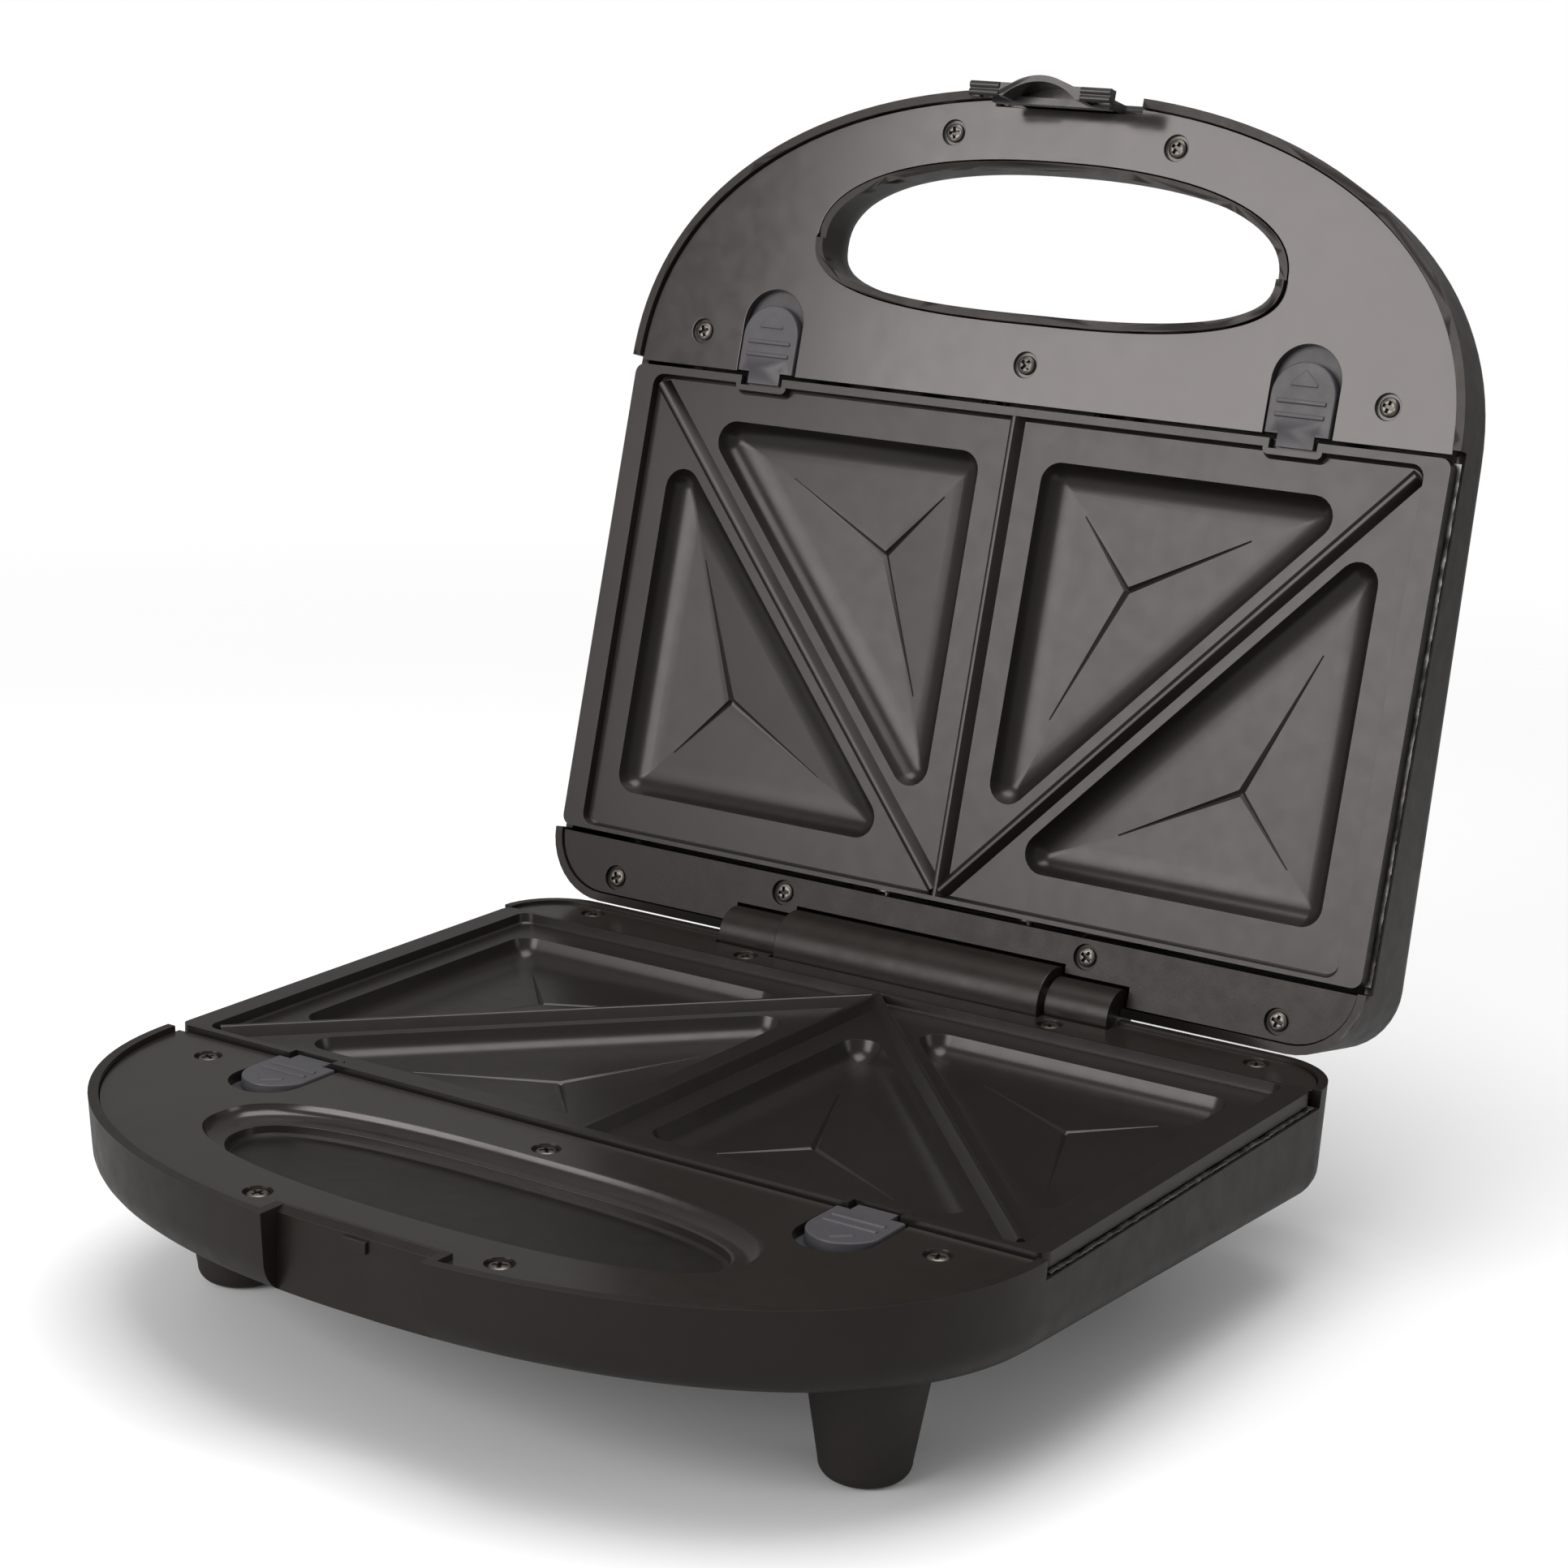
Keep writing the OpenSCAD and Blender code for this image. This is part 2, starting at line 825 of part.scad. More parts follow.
// Folded sheet tray under a plate, its side flanges lying on the housing's edge
module reflector() {
  difference() {
    union() {
      translate([0, tray_y1, 0])
        rotate([90, 0, 0])
          linear_extrude(tray_y1 - tray_y0)
            tray_section(0);
      translate([-tray_flange, 2, tray_top])
        cube([2 * tray_flange, 116, sheet]);
    }
    translate([0, tray_y1 - sheet, 0])
      rotate([90, 0, 0])
        linear_extrude(tray_y1 - tray_y0 - 2 * sheet)
          tray_section(sheet);
    both_sides()
      translate([tab_x - tab_w / 2 - 1, tray_y1 - 2, tray_top - 1])
        cube([tab_w + 2, 4, 3.6]);
    both_sides()
      y_bar(lead_x, tray_y1 - 3, tray_y1 + 3, tube_n, tube_r + 0.3);
  }
}

module lower_reflector() {
  color("silver")
    on_base()
      reflector();
}

module upper_reflector() {
  color("silver")
    on_lid()
      reflector();
}

// A quarter bend of the element's tube about a centre, starting at an angle
module tube_bend(x, y, start) {
  translate([x, y, tube_n])
    rotate([0, 0, start])
      rotate_extrude(angle = 90)
        translate([bend_r, 0])
          circle(r = tube_r);
}

// Sheathed tube bent into an open loop, its two ends led out at the rear
module heating_element() {
  x_bar(-loop_half + bend_r, loop_half - bend_r, loop_y0, tube_n, tube_r);
  both_sides() {
    tube_bend(loop_half - bend_r, loop_y0 + bend_r, 270);
    y_bar(loop_half, loop_y0 + bend_r, loop_y1 - bend_r, tube_n, tube_r);
    tube_bend(loop_half - bend_r, loop_y1 - bend_r, 0);
    x_bar(lead_x + bend_r, loop_half - bend_r, loop_y1, tube_n, tube_r);
    tube_bend(lead_x + bend_r, loop_y1 + bend_r, 180);
    y_bar(lead_x, loop_y1 + bend_r, lead_y - 2.5, tube_n, tube_r);
    y_bar(lead_x, lead_y - 2.5, lead_y, tube_n, 1);
  }
}

module lower_heating_element() {
  color("slategray")
    on_base()
      heating_element();
}

module upper_heating_element() {
  color("slategray")
    on_lid()
      heating_element();
}

// Sheet saddles that carry the element on the tray's floor
module element_clips() {
  both_sides()
    for (y = [40, 78])
      translate([loop_half, y, tube_n])
        difference() {
          translate([-5, -4, 0.5])
            cube([10, 8, tray_n - sheet - 0.1 - tube_n - 0.5]);
          rotate([90, 0, 0])
            cylinder(r = tube_r + 0.1, h = 20, center = true);
        }
}

module lower_element_clips() {
  color("lightgray")
    on_base()
      element_clips();
}

module upper_element_clips() {
  color("lightgray")
    on_lid()
      element_clips();
}

// Arch-shaped slider in the panel's slot, its tongue over the plate's notched rim
module release_button() {
  difference() {
    union() {
      translate([0, 0, button_n])
        linear_extrude(button_h)
          arch(button_w, slot_apex + button_travel + 0.4, button_back);
      translate([-guide_half, guide_front, guide_n])
        cube([2 * guide_half, guide_back - guide_front, guide_t]);
      translate([-4, guide_front, guide_n])
        cube([8, 3, seat_h]);
      translate([-tongue_half, button_back - 1, button_n])
        cube([2 * tongue_half, tongue_y - button_back + 1, tongue_n - button_n]);
      for (y = [-9.4, -6.2])
        translate([-6.5, y, button_n - 0.4])
          cube([13, 1.2, 1]);
    }
    translate([-5.2, -12.5, button_n + button_skin])
      cube([10.4, 9.5, button_h + guide_t]);
  }
}

module lower_left_button() {
  color([0.3, 0.3, 0.32])
    on_base()
      translate([-button_x, 0, 0])
        release_button();
}

module lower_right_button() {
  color([0.3, 0.3, 0.32])
    on_base()
      translate([button_x, 0, 0])
        release_button();
}

module upper_left_button() {
  color([0.38, 0.38, 0.41])
    on_lid()
      translate([-button_x, 0, 0])
        release_button();
}

module upper_right_button() {
  color([0.38, 0.38, 0.41])
    on_lid()
      translate([button_x, 0, 0])
        release_button();
}

// Hidden return spring: its outer coils as one thin sleeve
module button_spring() {
  difference() {
    y_bar(0, seat_y + 0.05, guide_front - 0.05, spring_n, spring_r);
    y_bar(0, seat_y - 1, guide_front + 1, spring_n, spring_r - 2 * wire_r);
  }
}

module lower_left_spring() {
  color("gainsboro")
    on_base()
      translate([-button_x, 0, 0])
        button_spring();
}

module lower_right_spring() {
  color("gainsboro")
    on_base()
      translate([button_x, 0, 0])
        button_spring();
}

module upper_left_spring() {
  color("gainsboro")
    on_lid()
      translate([-button_x, 0, 0])
        button_spring();
}

module upper_right_spring() {
  color("gainsboro")
    on_lid()
      translate([button_x, 0, 0])
        button_spring();
}

// Clip on the lid's front: a lever on a pin, with a hook and a domed thumb lift
module latch() {
  color([0.24, 0.23, 0.24])
    on_lid()
      difference() {
        union() {
          x_bar(-latch_half, latch_half, latch_y, latch_n, latch_barrel_r);
          translate([-latch_half, lever_out, lever_n])
            cube([2 * latch_half, lever_in - lever_out, latch_n - lever_n - 0.7]);
          translate([-latch_half + 3, lever_in - 0.5, hook_n - hook_h])
            cube([2 * (latch_half - 3), hook_in - lever_in + 0.5, hook_h]);
          translate([0, 0, lever_n])
            linear_extrude(11)
              intersection() {
                translate([0, lever_out - dome_rise + dome_arc()])
                  circle(r = dome_arc(), $fn = 96);
                translate([-dome_half - 2, lever_out - dome_rise - 1])
                  square([2 * dome_half + 4, dome_rise + 1.5]);
              }
        }
        x_bar(-far, far, latch_y, latch_n, latch_pin_r + pin_fit);
        translate([0, 0, lever_n - 1])
          linear_extrude(10.6)
            intersection() {
              translate([0, lever_out - dome_rise + dome_arc() + 1.3])
                circle(r = dome_arc(), $fn = 96);
              translate([-dome_half + 1.2, lever_out - dome_rise])
                square([2 * dome_half - 2.4, dome_rise + 1.4]);
            }
      }
}

// Radius of an arc that rises dome_rise over the dome's width
function dome_arc() = (dome_half * dome_half + dome_rise * dome_rise) / (2 * dome_rise);

module latch_pin() {
  color("silver")
    on_lid()
      x_bar(-latch_pin_half + 0.3, latch_pin_half - 0.3, latch_y, latch_n, latch_pin_r);
}

module hinge_pin() {
  color("silver")
    on_lid()
      x_bar(-pin_x1, -pin_x0, hinge_y, 0, hinge_pin_r);
}

// Hollow bush that the lid turns on at the right and the wires pass through,
// its wall open at the outer end towards the duct in the knuckle
module hinge_bush() {
  color("silver")
    on_lid()
      difference() {
        x_bar(pin_x0, pin_x1, hinge_y, 0, hinge_bush_r);
        x_bar(pin_x0 - 1, pin_x1 + 1, hinge_y, 0, bush_bore_r);
        translate([pin_x1 - 3.4, hinge_y - 5, 0.5])
          cube([4, 5.6, 6]);
      }
}

// Conical foot with a rounded, flat-bottomed tip and a spigot into the housing
module foot(x, y) {
  color([0.11, 0.1, 0.1])
    on_base()
      difference() {
        translate([x, y, 0])
          rotate_extrude()
            union() {
              polygon([
                [0, foot_base_n],
                [foot_top_r, foot_base_n],
                [foot_low_r + 0.2, parting_z - foot_round],
                [0, parting_z - foot_round]
              ]);
              square([spigot_r, foot_base_n + 4]);
              translate([0, parting_z - foot_round - slab])
                square([foot_flat_r, foot_round + slab]);
              intersection() {
                translate([foot_flat_r - 0.5, parting_z - foot_round])
                  circle(r = foot_round);
                translate([0, parting_z - foot_round - slab])
                  square([foot_low_r + 0.2, foot_round + slab]);
              }
            }
        difference() {
          half_solid(base_front_h, base_rear_h, -0.05);
          translate([x, y, 17])
            cylinder(r = spigot_r, h = 30);
        }
        translate([x - 20, y - 20, -1])
          cube([40, 40, spigot_n + 1]);
      }
}

module foot_front_left() {
  foot(-foot_x, foot_front_y);
}

module foot_front_right() {
  foot(foot_x, foot_front_y);
}

module foot_rear_left() {
  foot(-foot_rear_x, foot_rear_y);
}

module foot_rear_right() {
  foot(foot_rear_x, foot_rear_y);
}

// Rubber bush that the mains cord passes through
module cord_gland() {
  color([0.09, 0.09, 0.09])
    on_base()
      difference() {
        union() {
          y_bar(gland_x, gland_y0, gland_y1, gland_n, gland_body_r);
          y_bar(gland_x, rear_edge + 0.05, gland_y1, gland_n, gland_flange_r);
          y_bar(gland_x, gland_y0, gland_y0 + 2, gland_n, gland_flange_r - 0.6);
        }
        y_bar(gland_x, gland_y0 - 1, gland_y1 + 1, gland_n, gland_bore_r);
      }
}

// Ceramic block with two brass-tubed ways, on a post beside the gland
module terminal_block() {
  color("ivory")
    on_base()
      difference() {
        translate([-67, 122.8, 11])
          cube([18, 8, 9]);
        for (x = [-62.5, -53.5])
          y_bar(x, 120, 135, 15.5, 1.7);
        for (x = [-62.5, -53.5], y = [124.8, 128.8])
          translate([x, y, 10])
            cylinder(r = 1.2, h = 5);
      }
}

// Bimetal thermostat clamped to the outside of the lower tray's floor
module thermostat() {
  color("tan")
    on_base()
      difference() {
        union() {
          translate([-12, 53, tray_n + 0.1])
            cube([24, 8, 0.8]);
          translate([0, 57, tray_n + 0.1])
            cylinder(r = 6.5, h = 2.8);
        }
        for (x = [-10, 10])
          translate([x, 57, tray_n - 1])
            cylinder(r = 1.2, h = 5);
      }
}

// Thermal fuse in its clip, beside the thermostat
module thermal_fuse() {
  color("goldenrod")
    on_base() {
      x_bar(28, 40, 57, tray_n + 1.65, 1.4);
      x_bar(24, 44, 57, tray_n + 1.65, 0.5);
      translate([32, 54.6, tray_n + 0.1])
        cube([4, 4.8, 1.7]);
    }
}

// Direction of the plane's normal where two stretches of a route meet
function unit(v) = v / norm(v);
function mitre(route, i) =
  i == 0 ? unit(route[1] - route[0])
  : i == len(route) - 1 ? unit(route[i] - route[i - 1])
  : unit(route[i] - route[i - 1]) + unit(route[i + 1] - route[i]);

// Rings of points round a route: the first one is square to it, and each later
// one is the ring before it, slid along its stretch to the mitre plane
function lead_rings(route, r, i) =
  i == 0
    ? let (d = mitre(route, 0), u = unit(cross(d, [0.1, 0.2, 1])), v = cross(d, u))
        [[
          for (k = [0:lead_sides - 1])
            let (a = 360 * k / lead_sides)
              route[0] + r * (u * cos(a) + v * sin(a))
        ]]
    : let (rings = lead_rings(route, r, i - 1), d = route[i] - route[i - 1], m = mitre(route, i))
        concat(rings, [[for (p = rings[i - 1]) p + d * ((route[i] - p) * m) / (d * m)]]);

// An insulated lead along a list of points
module lead(route, r) {
  n = lead_sides;
  last = len(route) - 1;
  polyhedron(
    points = [for (ring = lead_rings(route, r, last)) each ring],
    faces = concat(
      [[for (k = [0:n - 1]) k]],
      [for (i = [0:last - 1], k = [0:n - 1]) [i * n + k, (i + 1) * n + k, (i + 1) * n + (k + 1) % n]],
      [for (i = [0:last - 1], k = [0:n - 1]) [i * n + k, (i + 1) * n + (k + 1) % n, i * n + (k + 1) % n]],
      [[for (k = [n - 1:-1:0]) last * n + k]]
    )
  );
}

// Leads of the base: from the terminals to the thermostat and the fuse, and on to
// the element, two of them in a sleeve through the duct and the barrel
live_lead = [
  [-62.5, 121.8, 15.5], [-62.5, 118, 22], [-36, 118, 22.5],
  [-30, 121.5, 21], [-30, 124, 13.4], [-20, 124, 13.4]
];
neutral_lead = [
  [-53.5, 131.8, 15.5], [-47, 131.8, 16], [-47, 118, 22.6],
  [-47, 57, 20.8], [-12.5, 57, 20]
];
element_lead = [[20, 124, 13.4], [12, 126, 17.5]];
fuse_lead = [[44.6, 57, 20.5], [50, 70, 21.3], [50, 118, 23], [12, 126, 17.5]];
barrel_lead = [
  [12, 126, 17.5], [5, 131.8, 15.4], [5, 132.2, 4.5],
  [8, hinge_y, 0], [37.2, hinge_y, 0]
];

module lower_wiring() {
  color("firebrick")
    on_base() {
      for (route = [live_lead, neutral_lead, element_lead, fuse_lead])
        lead(route, lead_r);
      lead(barrel_lead, sleeve_r);
    }
}

// Leads of the lid: from the hollow bush to the element, and up to the two lamps
bush_lead = [
  [38.2, hinge_y, 0], [48.2, hinge_y, 0], [48.4, 132, 7.6],
  [48.6, 125, 14], [48.6, 122.6, 15.2]
];
near_lead = [[48.4, 120.2, 15.6], [40, 120.2, 14.4], [36, 120.2, 14], [31, 124, 13.4], [20, 124, 13.4]];
far_lead = [[49, 120.2, 17.7], [40, 120.2, 19.5], [-36, 120.2, 19.5], [-31, 124, 16], [-20, 124, 13.4]];
function lamp_lead(x) = [[x, 119, 20.2], [x, 112, 22], [x, -1.2, 19.35], [x, -4.5, 12], [x, -6, 10]];

module upper_wiring() {
  color("firebrick")
    on_lid() {
      lead(bush_lead, sleeve_r);
      lead(near_lead, lead_r);
      lead(far_lead, lead_r);
      for (x = [-lamp_x, lamp_x])
        lead(lamp_lead(x), thin_lead_r);
    }
}

// Lens in the lid's top, flush flange outside and a plain barrel inside
module lamp_lens(x) {
  on_lid()
    translate([x, lamp_y, 0]) {
      top_n = lid_front_h + (front_reach + lamp_y) * tan(lid_tilt);
      translate([0, 0, top_n - wall - 2])
        cylinder(r = lens_r, h = wall + 2 + 0.3);
      intersection() {
        translate([0, 0, top_n + 0.3 + lens_rise - 6.5])
          sphere(r = 6.5);
        translate([0, 0, top_n + 0.2])
          cylinder(r = lens_r, h = 3);
      }
    }
}

module power_lamp_lens() {
  color("red")
    lamp_lens(-lamp_x);
}

module ready_lamp_lens() {
  color("limegreen")
    lamp_lens(lamp_x);
}

// Neon lamp standing under a lens
module lamp(x) {
  color("lightyellow")
    on_lid()
      translate([x, lamp_y, 0]) {
        translate([0, 0, 7])
          cylinder(r = 2.4, h = 8);
        translate([0, 0, 15])
          sphere(r = 2.2);
      }
}

module power_lamp() {
  lamp(-lamp_x);
}

module ready_lamp() {
  lamp(lamp_x);
}

module lower_panel_screws() {
  on_base()
    panel_screws();
}

module upper_panel_screws() {
  on_lid()
    panel_screws();
}

lower_housing();
lower_front_panel();
lower_rear_panel();
lower_reflector();
lower_heating_element();
lower_element_clips();
thermostat();
thermal_fuse();
terminal_block();
lower_wiring();
cord_gland();
foot_front_left();
foot_front_right();
foot_rear_left();
foot_rear_right();
lower_panel_screws();
lower_cooking_plate();
lower_left_button();
lower_right_button();
lower_left_spring();
lower_right_spring();
upper_housing();
upper_front_panel();
upper_rear_panel();
upper_reflector();
upper_heating_element();
upper_element_clips();
upper_panel_screws();
upper_cooking_plate();
upper_wiring();
upper_left_button();
upper_right_button();
upper_left_spring();
upper_right_spring();
latch();
latch_pin();
hinge_pin();
hinge_bush();
power_lamp_lens();
ready_lamp_lens();
power_lamp();
ready_lamp();
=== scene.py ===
import math

import bmesh
import bpy
from mathutils import Matrix, Vector, noise


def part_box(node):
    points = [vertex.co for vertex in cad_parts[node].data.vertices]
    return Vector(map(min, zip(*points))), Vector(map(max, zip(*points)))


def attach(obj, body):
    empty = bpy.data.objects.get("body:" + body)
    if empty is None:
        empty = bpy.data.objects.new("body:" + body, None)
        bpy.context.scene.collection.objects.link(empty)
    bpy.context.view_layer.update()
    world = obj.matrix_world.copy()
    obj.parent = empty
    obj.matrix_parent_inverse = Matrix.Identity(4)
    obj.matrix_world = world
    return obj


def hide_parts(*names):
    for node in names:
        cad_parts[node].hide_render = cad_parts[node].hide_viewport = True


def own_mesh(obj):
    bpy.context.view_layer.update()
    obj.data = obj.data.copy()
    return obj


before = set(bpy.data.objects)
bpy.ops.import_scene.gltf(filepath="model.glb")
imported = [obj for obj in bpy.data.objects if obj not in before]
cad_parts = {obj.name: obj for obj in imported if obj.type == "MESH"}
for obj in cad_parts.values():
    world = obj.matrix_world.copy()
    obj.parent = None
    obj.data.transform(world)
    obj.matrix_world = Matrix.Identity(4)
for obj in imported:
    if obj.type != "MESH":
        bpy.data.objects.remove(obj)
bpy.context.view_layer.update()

# The camera stands in front, to the right and a little above, turned a touch, and looks
# through a long lens, as the photograph was taken.
camera_place = Vector((0.39696, -0.60109, 0.29412))
camera_azimuth = math.radians(32.984)
camera_elevation = math.radians(14.322)
camera_roll = math.radians(1.846)
camera_lens = 78.33

bpy.ops.object.camera_add(location=camera_place)
camera = bpy.context.object
camera.name = "camera"
camera.data.lens = camera_lens
camera.data.sensor_width = 36
camera.data.clip_start = 0.01
camera.matrix_world = (
    Matrix.Translation(camera_place)
    @ Matrix.Rotation(camera_azimuth, 4, "Z")
    @ Matrix.Rotation(math.pi / 2 - camera_elevation, 4, "X")
    @ Matrix.Rotation(camera_roll, 4, "Z")
)
bpy.context.scene.camera = camera


# The two housings: black moulded plastic shells, straight at the sides and behind and
# rounded in front, hinged together behind. Each half is shaped lying on the plane where
# base and lid meet, z growing away from that plane, and is then put on the base or lid.
body_width = 0.2256
front_reach, front_power = 0.076, 2.22
rear_edge, rear_corner, smallest_radius = 0.137, 0.017, 0.0005
wall, draft = 0.0022, 0.08
edge_radius, shell_edge, hinge_edge = 0.008, 0.0006, 0.0004
half_gap = 0.0003
base_front, base_rear = 0.0182, 0.028
lid_front, lid_rear = 0.0175, 0.031
side_step, step_front, step_rear = 0.0045, -0.002, 0.1203
hinge_y, parting_height, half_shift = 0.1369, 0.049, -0.0639366
open_angle = math.radians(104)
barrel_radius, barrel_half = 0.0086, 0.0368
knuckle_radius, knuckle_start, knuckle_end = 0.0065, 0.0376, 0.054
barrel_room, turning_gap, hinge_sides = barrel_radius + 0.0008, 0.0006, 96
notch_half, notch_y = 0.0197, -0.0702
slope_reach, slope_top, slope_foot = 0.0017, 0.0004, 0.0015
catch_half, catch_face, catch_low, catch_high = 0.003, -0.0710, 0.002, 0.0046
window_half, window_depth = 0.0202, 0.0135
hole_half, hole_front, hole_back, hole_y = 0.0635, 0.0227, 0.0158, -0.036
hole_front_power, hole_back_power = 2.3, 2.75
lamp_x, lamp_y, lamp_hole_radius = 0.014, -0.009, 0.0035
gland_x, gland_level, gland_seat_radius = -0.078, 0.014, 0.0056
panel_face = 0.0015
# How far cutting tools reach: sideways, in front, past the parting plane, through a panel
# and through the shell.
past_side, past_front, past_parting, past_panel, past_shell = 0.2, -0.1, -0.01, 0.02, 0.05


def alone(piece):
    """Selects one piece and nothing else, in object mode."""
    bpy.ops.object.select_all(action="DESELECT")
    piece.select_set(True)
    bpy.context.view_layer.objects.active = piece


def settle(piece):
    """Works a piece's place, turn and scale into its mesh."""
    alone(piece)
    bpy.ops.object.transform_apply(location=True, rotation=True, scale=True)


def rename(piece, name):
    """Names a piece and its mesh."""
    piece.name = name
    piece.data.name = name


def modify(piece, kind, **settings):
    """Adds a modifier to the active piece and applies it."""
    modifier = piece.modifiers.new("step", kind)
    for key, value in settings.items():
        setattr(modifier, key, value)
    bpy.ops.object.modifier_apply(modifier="step")


def shade(angle=35):
    """Shades the active piece smooth, apart from edges sharper than an angle."""
    bpy.ops.object.shade_smooth_by_angle(angle=math.radians(angle))


def edit(piece):
    """Goes into edit mode with all of a piece selected."""
    alone(piece)
    bpy.ops.object.mode_set(mode="EDIT")
    bpy.ops.mesh.select_all(action="SELECT")


def face_outwards():
    """Turns every face outwards in edit mode and goes back to object mode."""
    bpy.ops.mesh.select_all(action="SELECT")
    bpy.ops.mesh.normals_make_consistent(inside=False)
    bpy.ops.object.mode_set(mode="OBJECT")


def arc(steps):
    """Angles of a quarter turn, in equal steps."""
    return [math.pi / 2 * step / steps for step in range(steps + 1)]


def half_curve(half_width, reach, power, steps=72):
    """Rounded front from -x to +x, bulging towards -y."""
    places = []
    for step in range(steps + 1):
        turn = math.pi * step / steps
        across = -math.copysign(abs(math.cos(turn)) ** (2 / power), math.cos(turn))
        places.append((half_width * across, -reach * max(math.sin(turn), 0) ** (2 / power)))
    return places


def outline(inset):
    """Outline of a half, drawn in by an inset."""
    half_width = body_width / 2 - inset
    radius = max(rear_corner - inset, smallest_radius)
    places = half_curve(half_width, front_reach - inset, front_power)
    middle_x, middle_y = half_width - radius, rear_edge - inset - radius
    places += [(half_width, middle_y * share) for share in (0.25, 0.5, 0.75)]
    places += [(middle_x + radius * math.cos(a), middle_y + radius * math.sin(a)) for a in arc(10)]
    places += [(-middle_x - radius * math.sin(a), middle_y + radius * math.cos(a)) for a in arc(10)]
    places += [(-half_width, middle_y * share) for share in (0.75, 0.5, 0.25)]
    return places


def oval(half_width, front, back):
    """Oval of the handle hole and the finger recess: blunt in front, flatter behind."""
    places = [(x, y + hole_y) for x, y in half_curve(half_width, front, hole_front_power, 48)]
    rear = [(-x, hole_y - y) for x, y in half_curve(half_width, back, hole_back_power, 48)]
    return places + rear[1:-1]


def flat(places, z):
    """A ring of places at one height."""
    return [(x, y, z) for x, y in places]


def slab(name, places, low, high):
    """A slab of one outline between two levels."""
    return loft(name, [flat(places, low), flat(places, high)])


def loft(name, rings):
    """A closed solid through rings: a circle is set on the first ring and extruded on."""
    bpy.ops.mesh.primitive_circle_add(vertices=len(rings[0]), fill_type="NGON")
    piece = bpy.context.object
    rename(piece, name)
    for index, place in zip(piece.data.polygons[0].vertices, rings[0]):
        piece.data.vertices[index].co = place
    bpy.ops.object.mode_set(mode="EDIT")
    for ring in rings[1:]:
        bpy.ops.mesh.extrude_region_move()
        shape = bmesh.from_edit_mesh(piece.data)
        end = next(face for face in shape.faces if face.select)
        for vertex, place in zip(end.verts, ring):
            vertex.co = place
        bmesh.update_edit_mesh(piece.data)
    face_outwards()
    return piece


def block(low, high):
    """A box between two corners."""
    middle = [(a + b) / 2 for a, b in zip(low, high)]
    bpy.ops.mesh.primitive_cube_add(size=1, location=middle)
    box = bpy.context.object
    box.scale = [b - a for a, b in zip(low, high)]
    settle(box)
    return box


def round_bar(start, end, radius, sides=64):
    """A round bar between two points."""
    start, end = Vector(start), Vector(end)
    bpy.ops.mesh.primitive_cylinder_add(
        vertices=sides, radius=radius, depth=(end - start).length, location=(start + end) / 2
    )
    bar = bpy.context.object
    bar.rotation_euler = (end - start).to_track_quat("Z", "Y").to_euler()
    settle(bar)
    return bar


def front_block(half, rear, top):
    """A cutting block in the middle of the front, up to a given level."""
    return block((-half, past_front, past_parting), (half, rear, top))


def hinge_bar(start, end, radius, sides=64):
    """A round bar on the hinge's axis, between two places across the toaster."""
    return round_bar((start, hinge_y, 0), (end, hinge_y, 0), radius, sides)


def cut(piece, tool, operation="DIFFERENCE"):
    """Cuts a tool out of a piece and throws the tool away."""
    alone(piece)
    modify(piece, "BOOLEAN", operation=operation, solver="EXACT", object=tool)
    bpy.data.objects.remove(tool)


def weld(piece, tool):
    """Welds a second solid to a piece."""
    cut(piece, tool, "UNION")


def pick_faces(piece, wanted):
    """Goes into edit mode with only the wanted faces selected."""
    edit(piece)
    bpy.ops.mesh.select_mode(type="FACE")
    bpy.ops.mesh.select_all(action="DESELECT")
    shape = bmesh.from_edit_mesh(piece.data)
    for face in shape.faces:
        face.select_set(wanted(face))
    bmesh.update_edit_mesh(piece.data)


def soften(piece, width, segments=2, limit=40, smooth=35):
    """Breaks the sharp edges and shades the rest smooth."""
    edit(piece)
    bpy.ops.mesh.remove_doubles(threshold=0.00004)
    bpy.ops.mesh.dissolve_limited(angle_limit=math.radians(0.5))
    bpy.ops.object.mode_set(mode="OBJECT")
    modify(
        piece, "BEVEL", width=width, segments=segments, limit_method="ANGLE",
        angle_limit=math.radians(limit), use_clamp_overlap=True,
    )
    shade(smooth)


def twin(piece, name):
    """A copy of a piece with its own mesh."""
    alone(piece)
    bpy.ops.object.duplicate()
    copy = bpy.context.object
    rename(copy, name)
    return copy


def put_on_base(piece):
    """Turns a piece over and lifts it to the base's height."""
    piece.scale = (1, 1, -1)
    piece.location = (0, half_shift, parting_height)
    settle(piece)
    edit(piece)
    face_outwards()


def put_on_lid(piece):
    """Swings a piece open about the hinge."""
    piece.location = (0, -hinge_y, 0)
    settle(piece)
    piece.rotation_euler = (-open_angle, 0, 0)
    piece.location = (0, half_shift + hinge_y, parting_height)
    settle(piece)


def fit(piece, material, body, slot, *nodes):
    """Evens the shading of a finished piece, gives it its material and its body, and hides the CAD
    nodes that it stands for."""
    alone(piece)
    modify(piece, "WEIGHTED_NORMAL", keep_sharp=True)
    piece.data.materials.clear()
    piece.data.materials.append(material)
    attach(piece, body)
    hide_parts(*nodes)


def fit_pair(lower, upper, material, slot, name):
    """Puts two like pieces on the base and the lid and finishes them."""
    put_on_base(lower)
    put_on_lid(upper)
    fit(lower, material, "base", slot, f"lower_{name}")
    fit(upper, material, "lid", slot, f"upper_{name}")


def half_tilt(front, rear):
    """Slope of a half's outer face, which is deeper at the hinge than in front."""
    return math.atan((rear - front) / (front_reach + rear_edge))


def tilted(places, level, tilt):
    """A ring on a plane that rises towards the hinge."""
    run, rise = math.cos(tilt), math.sin(tilt)
    return [
        (x, (y + front_reach) * run - front_reach, level + (y + front_reach) * rise)
        for x, y in places
    ]


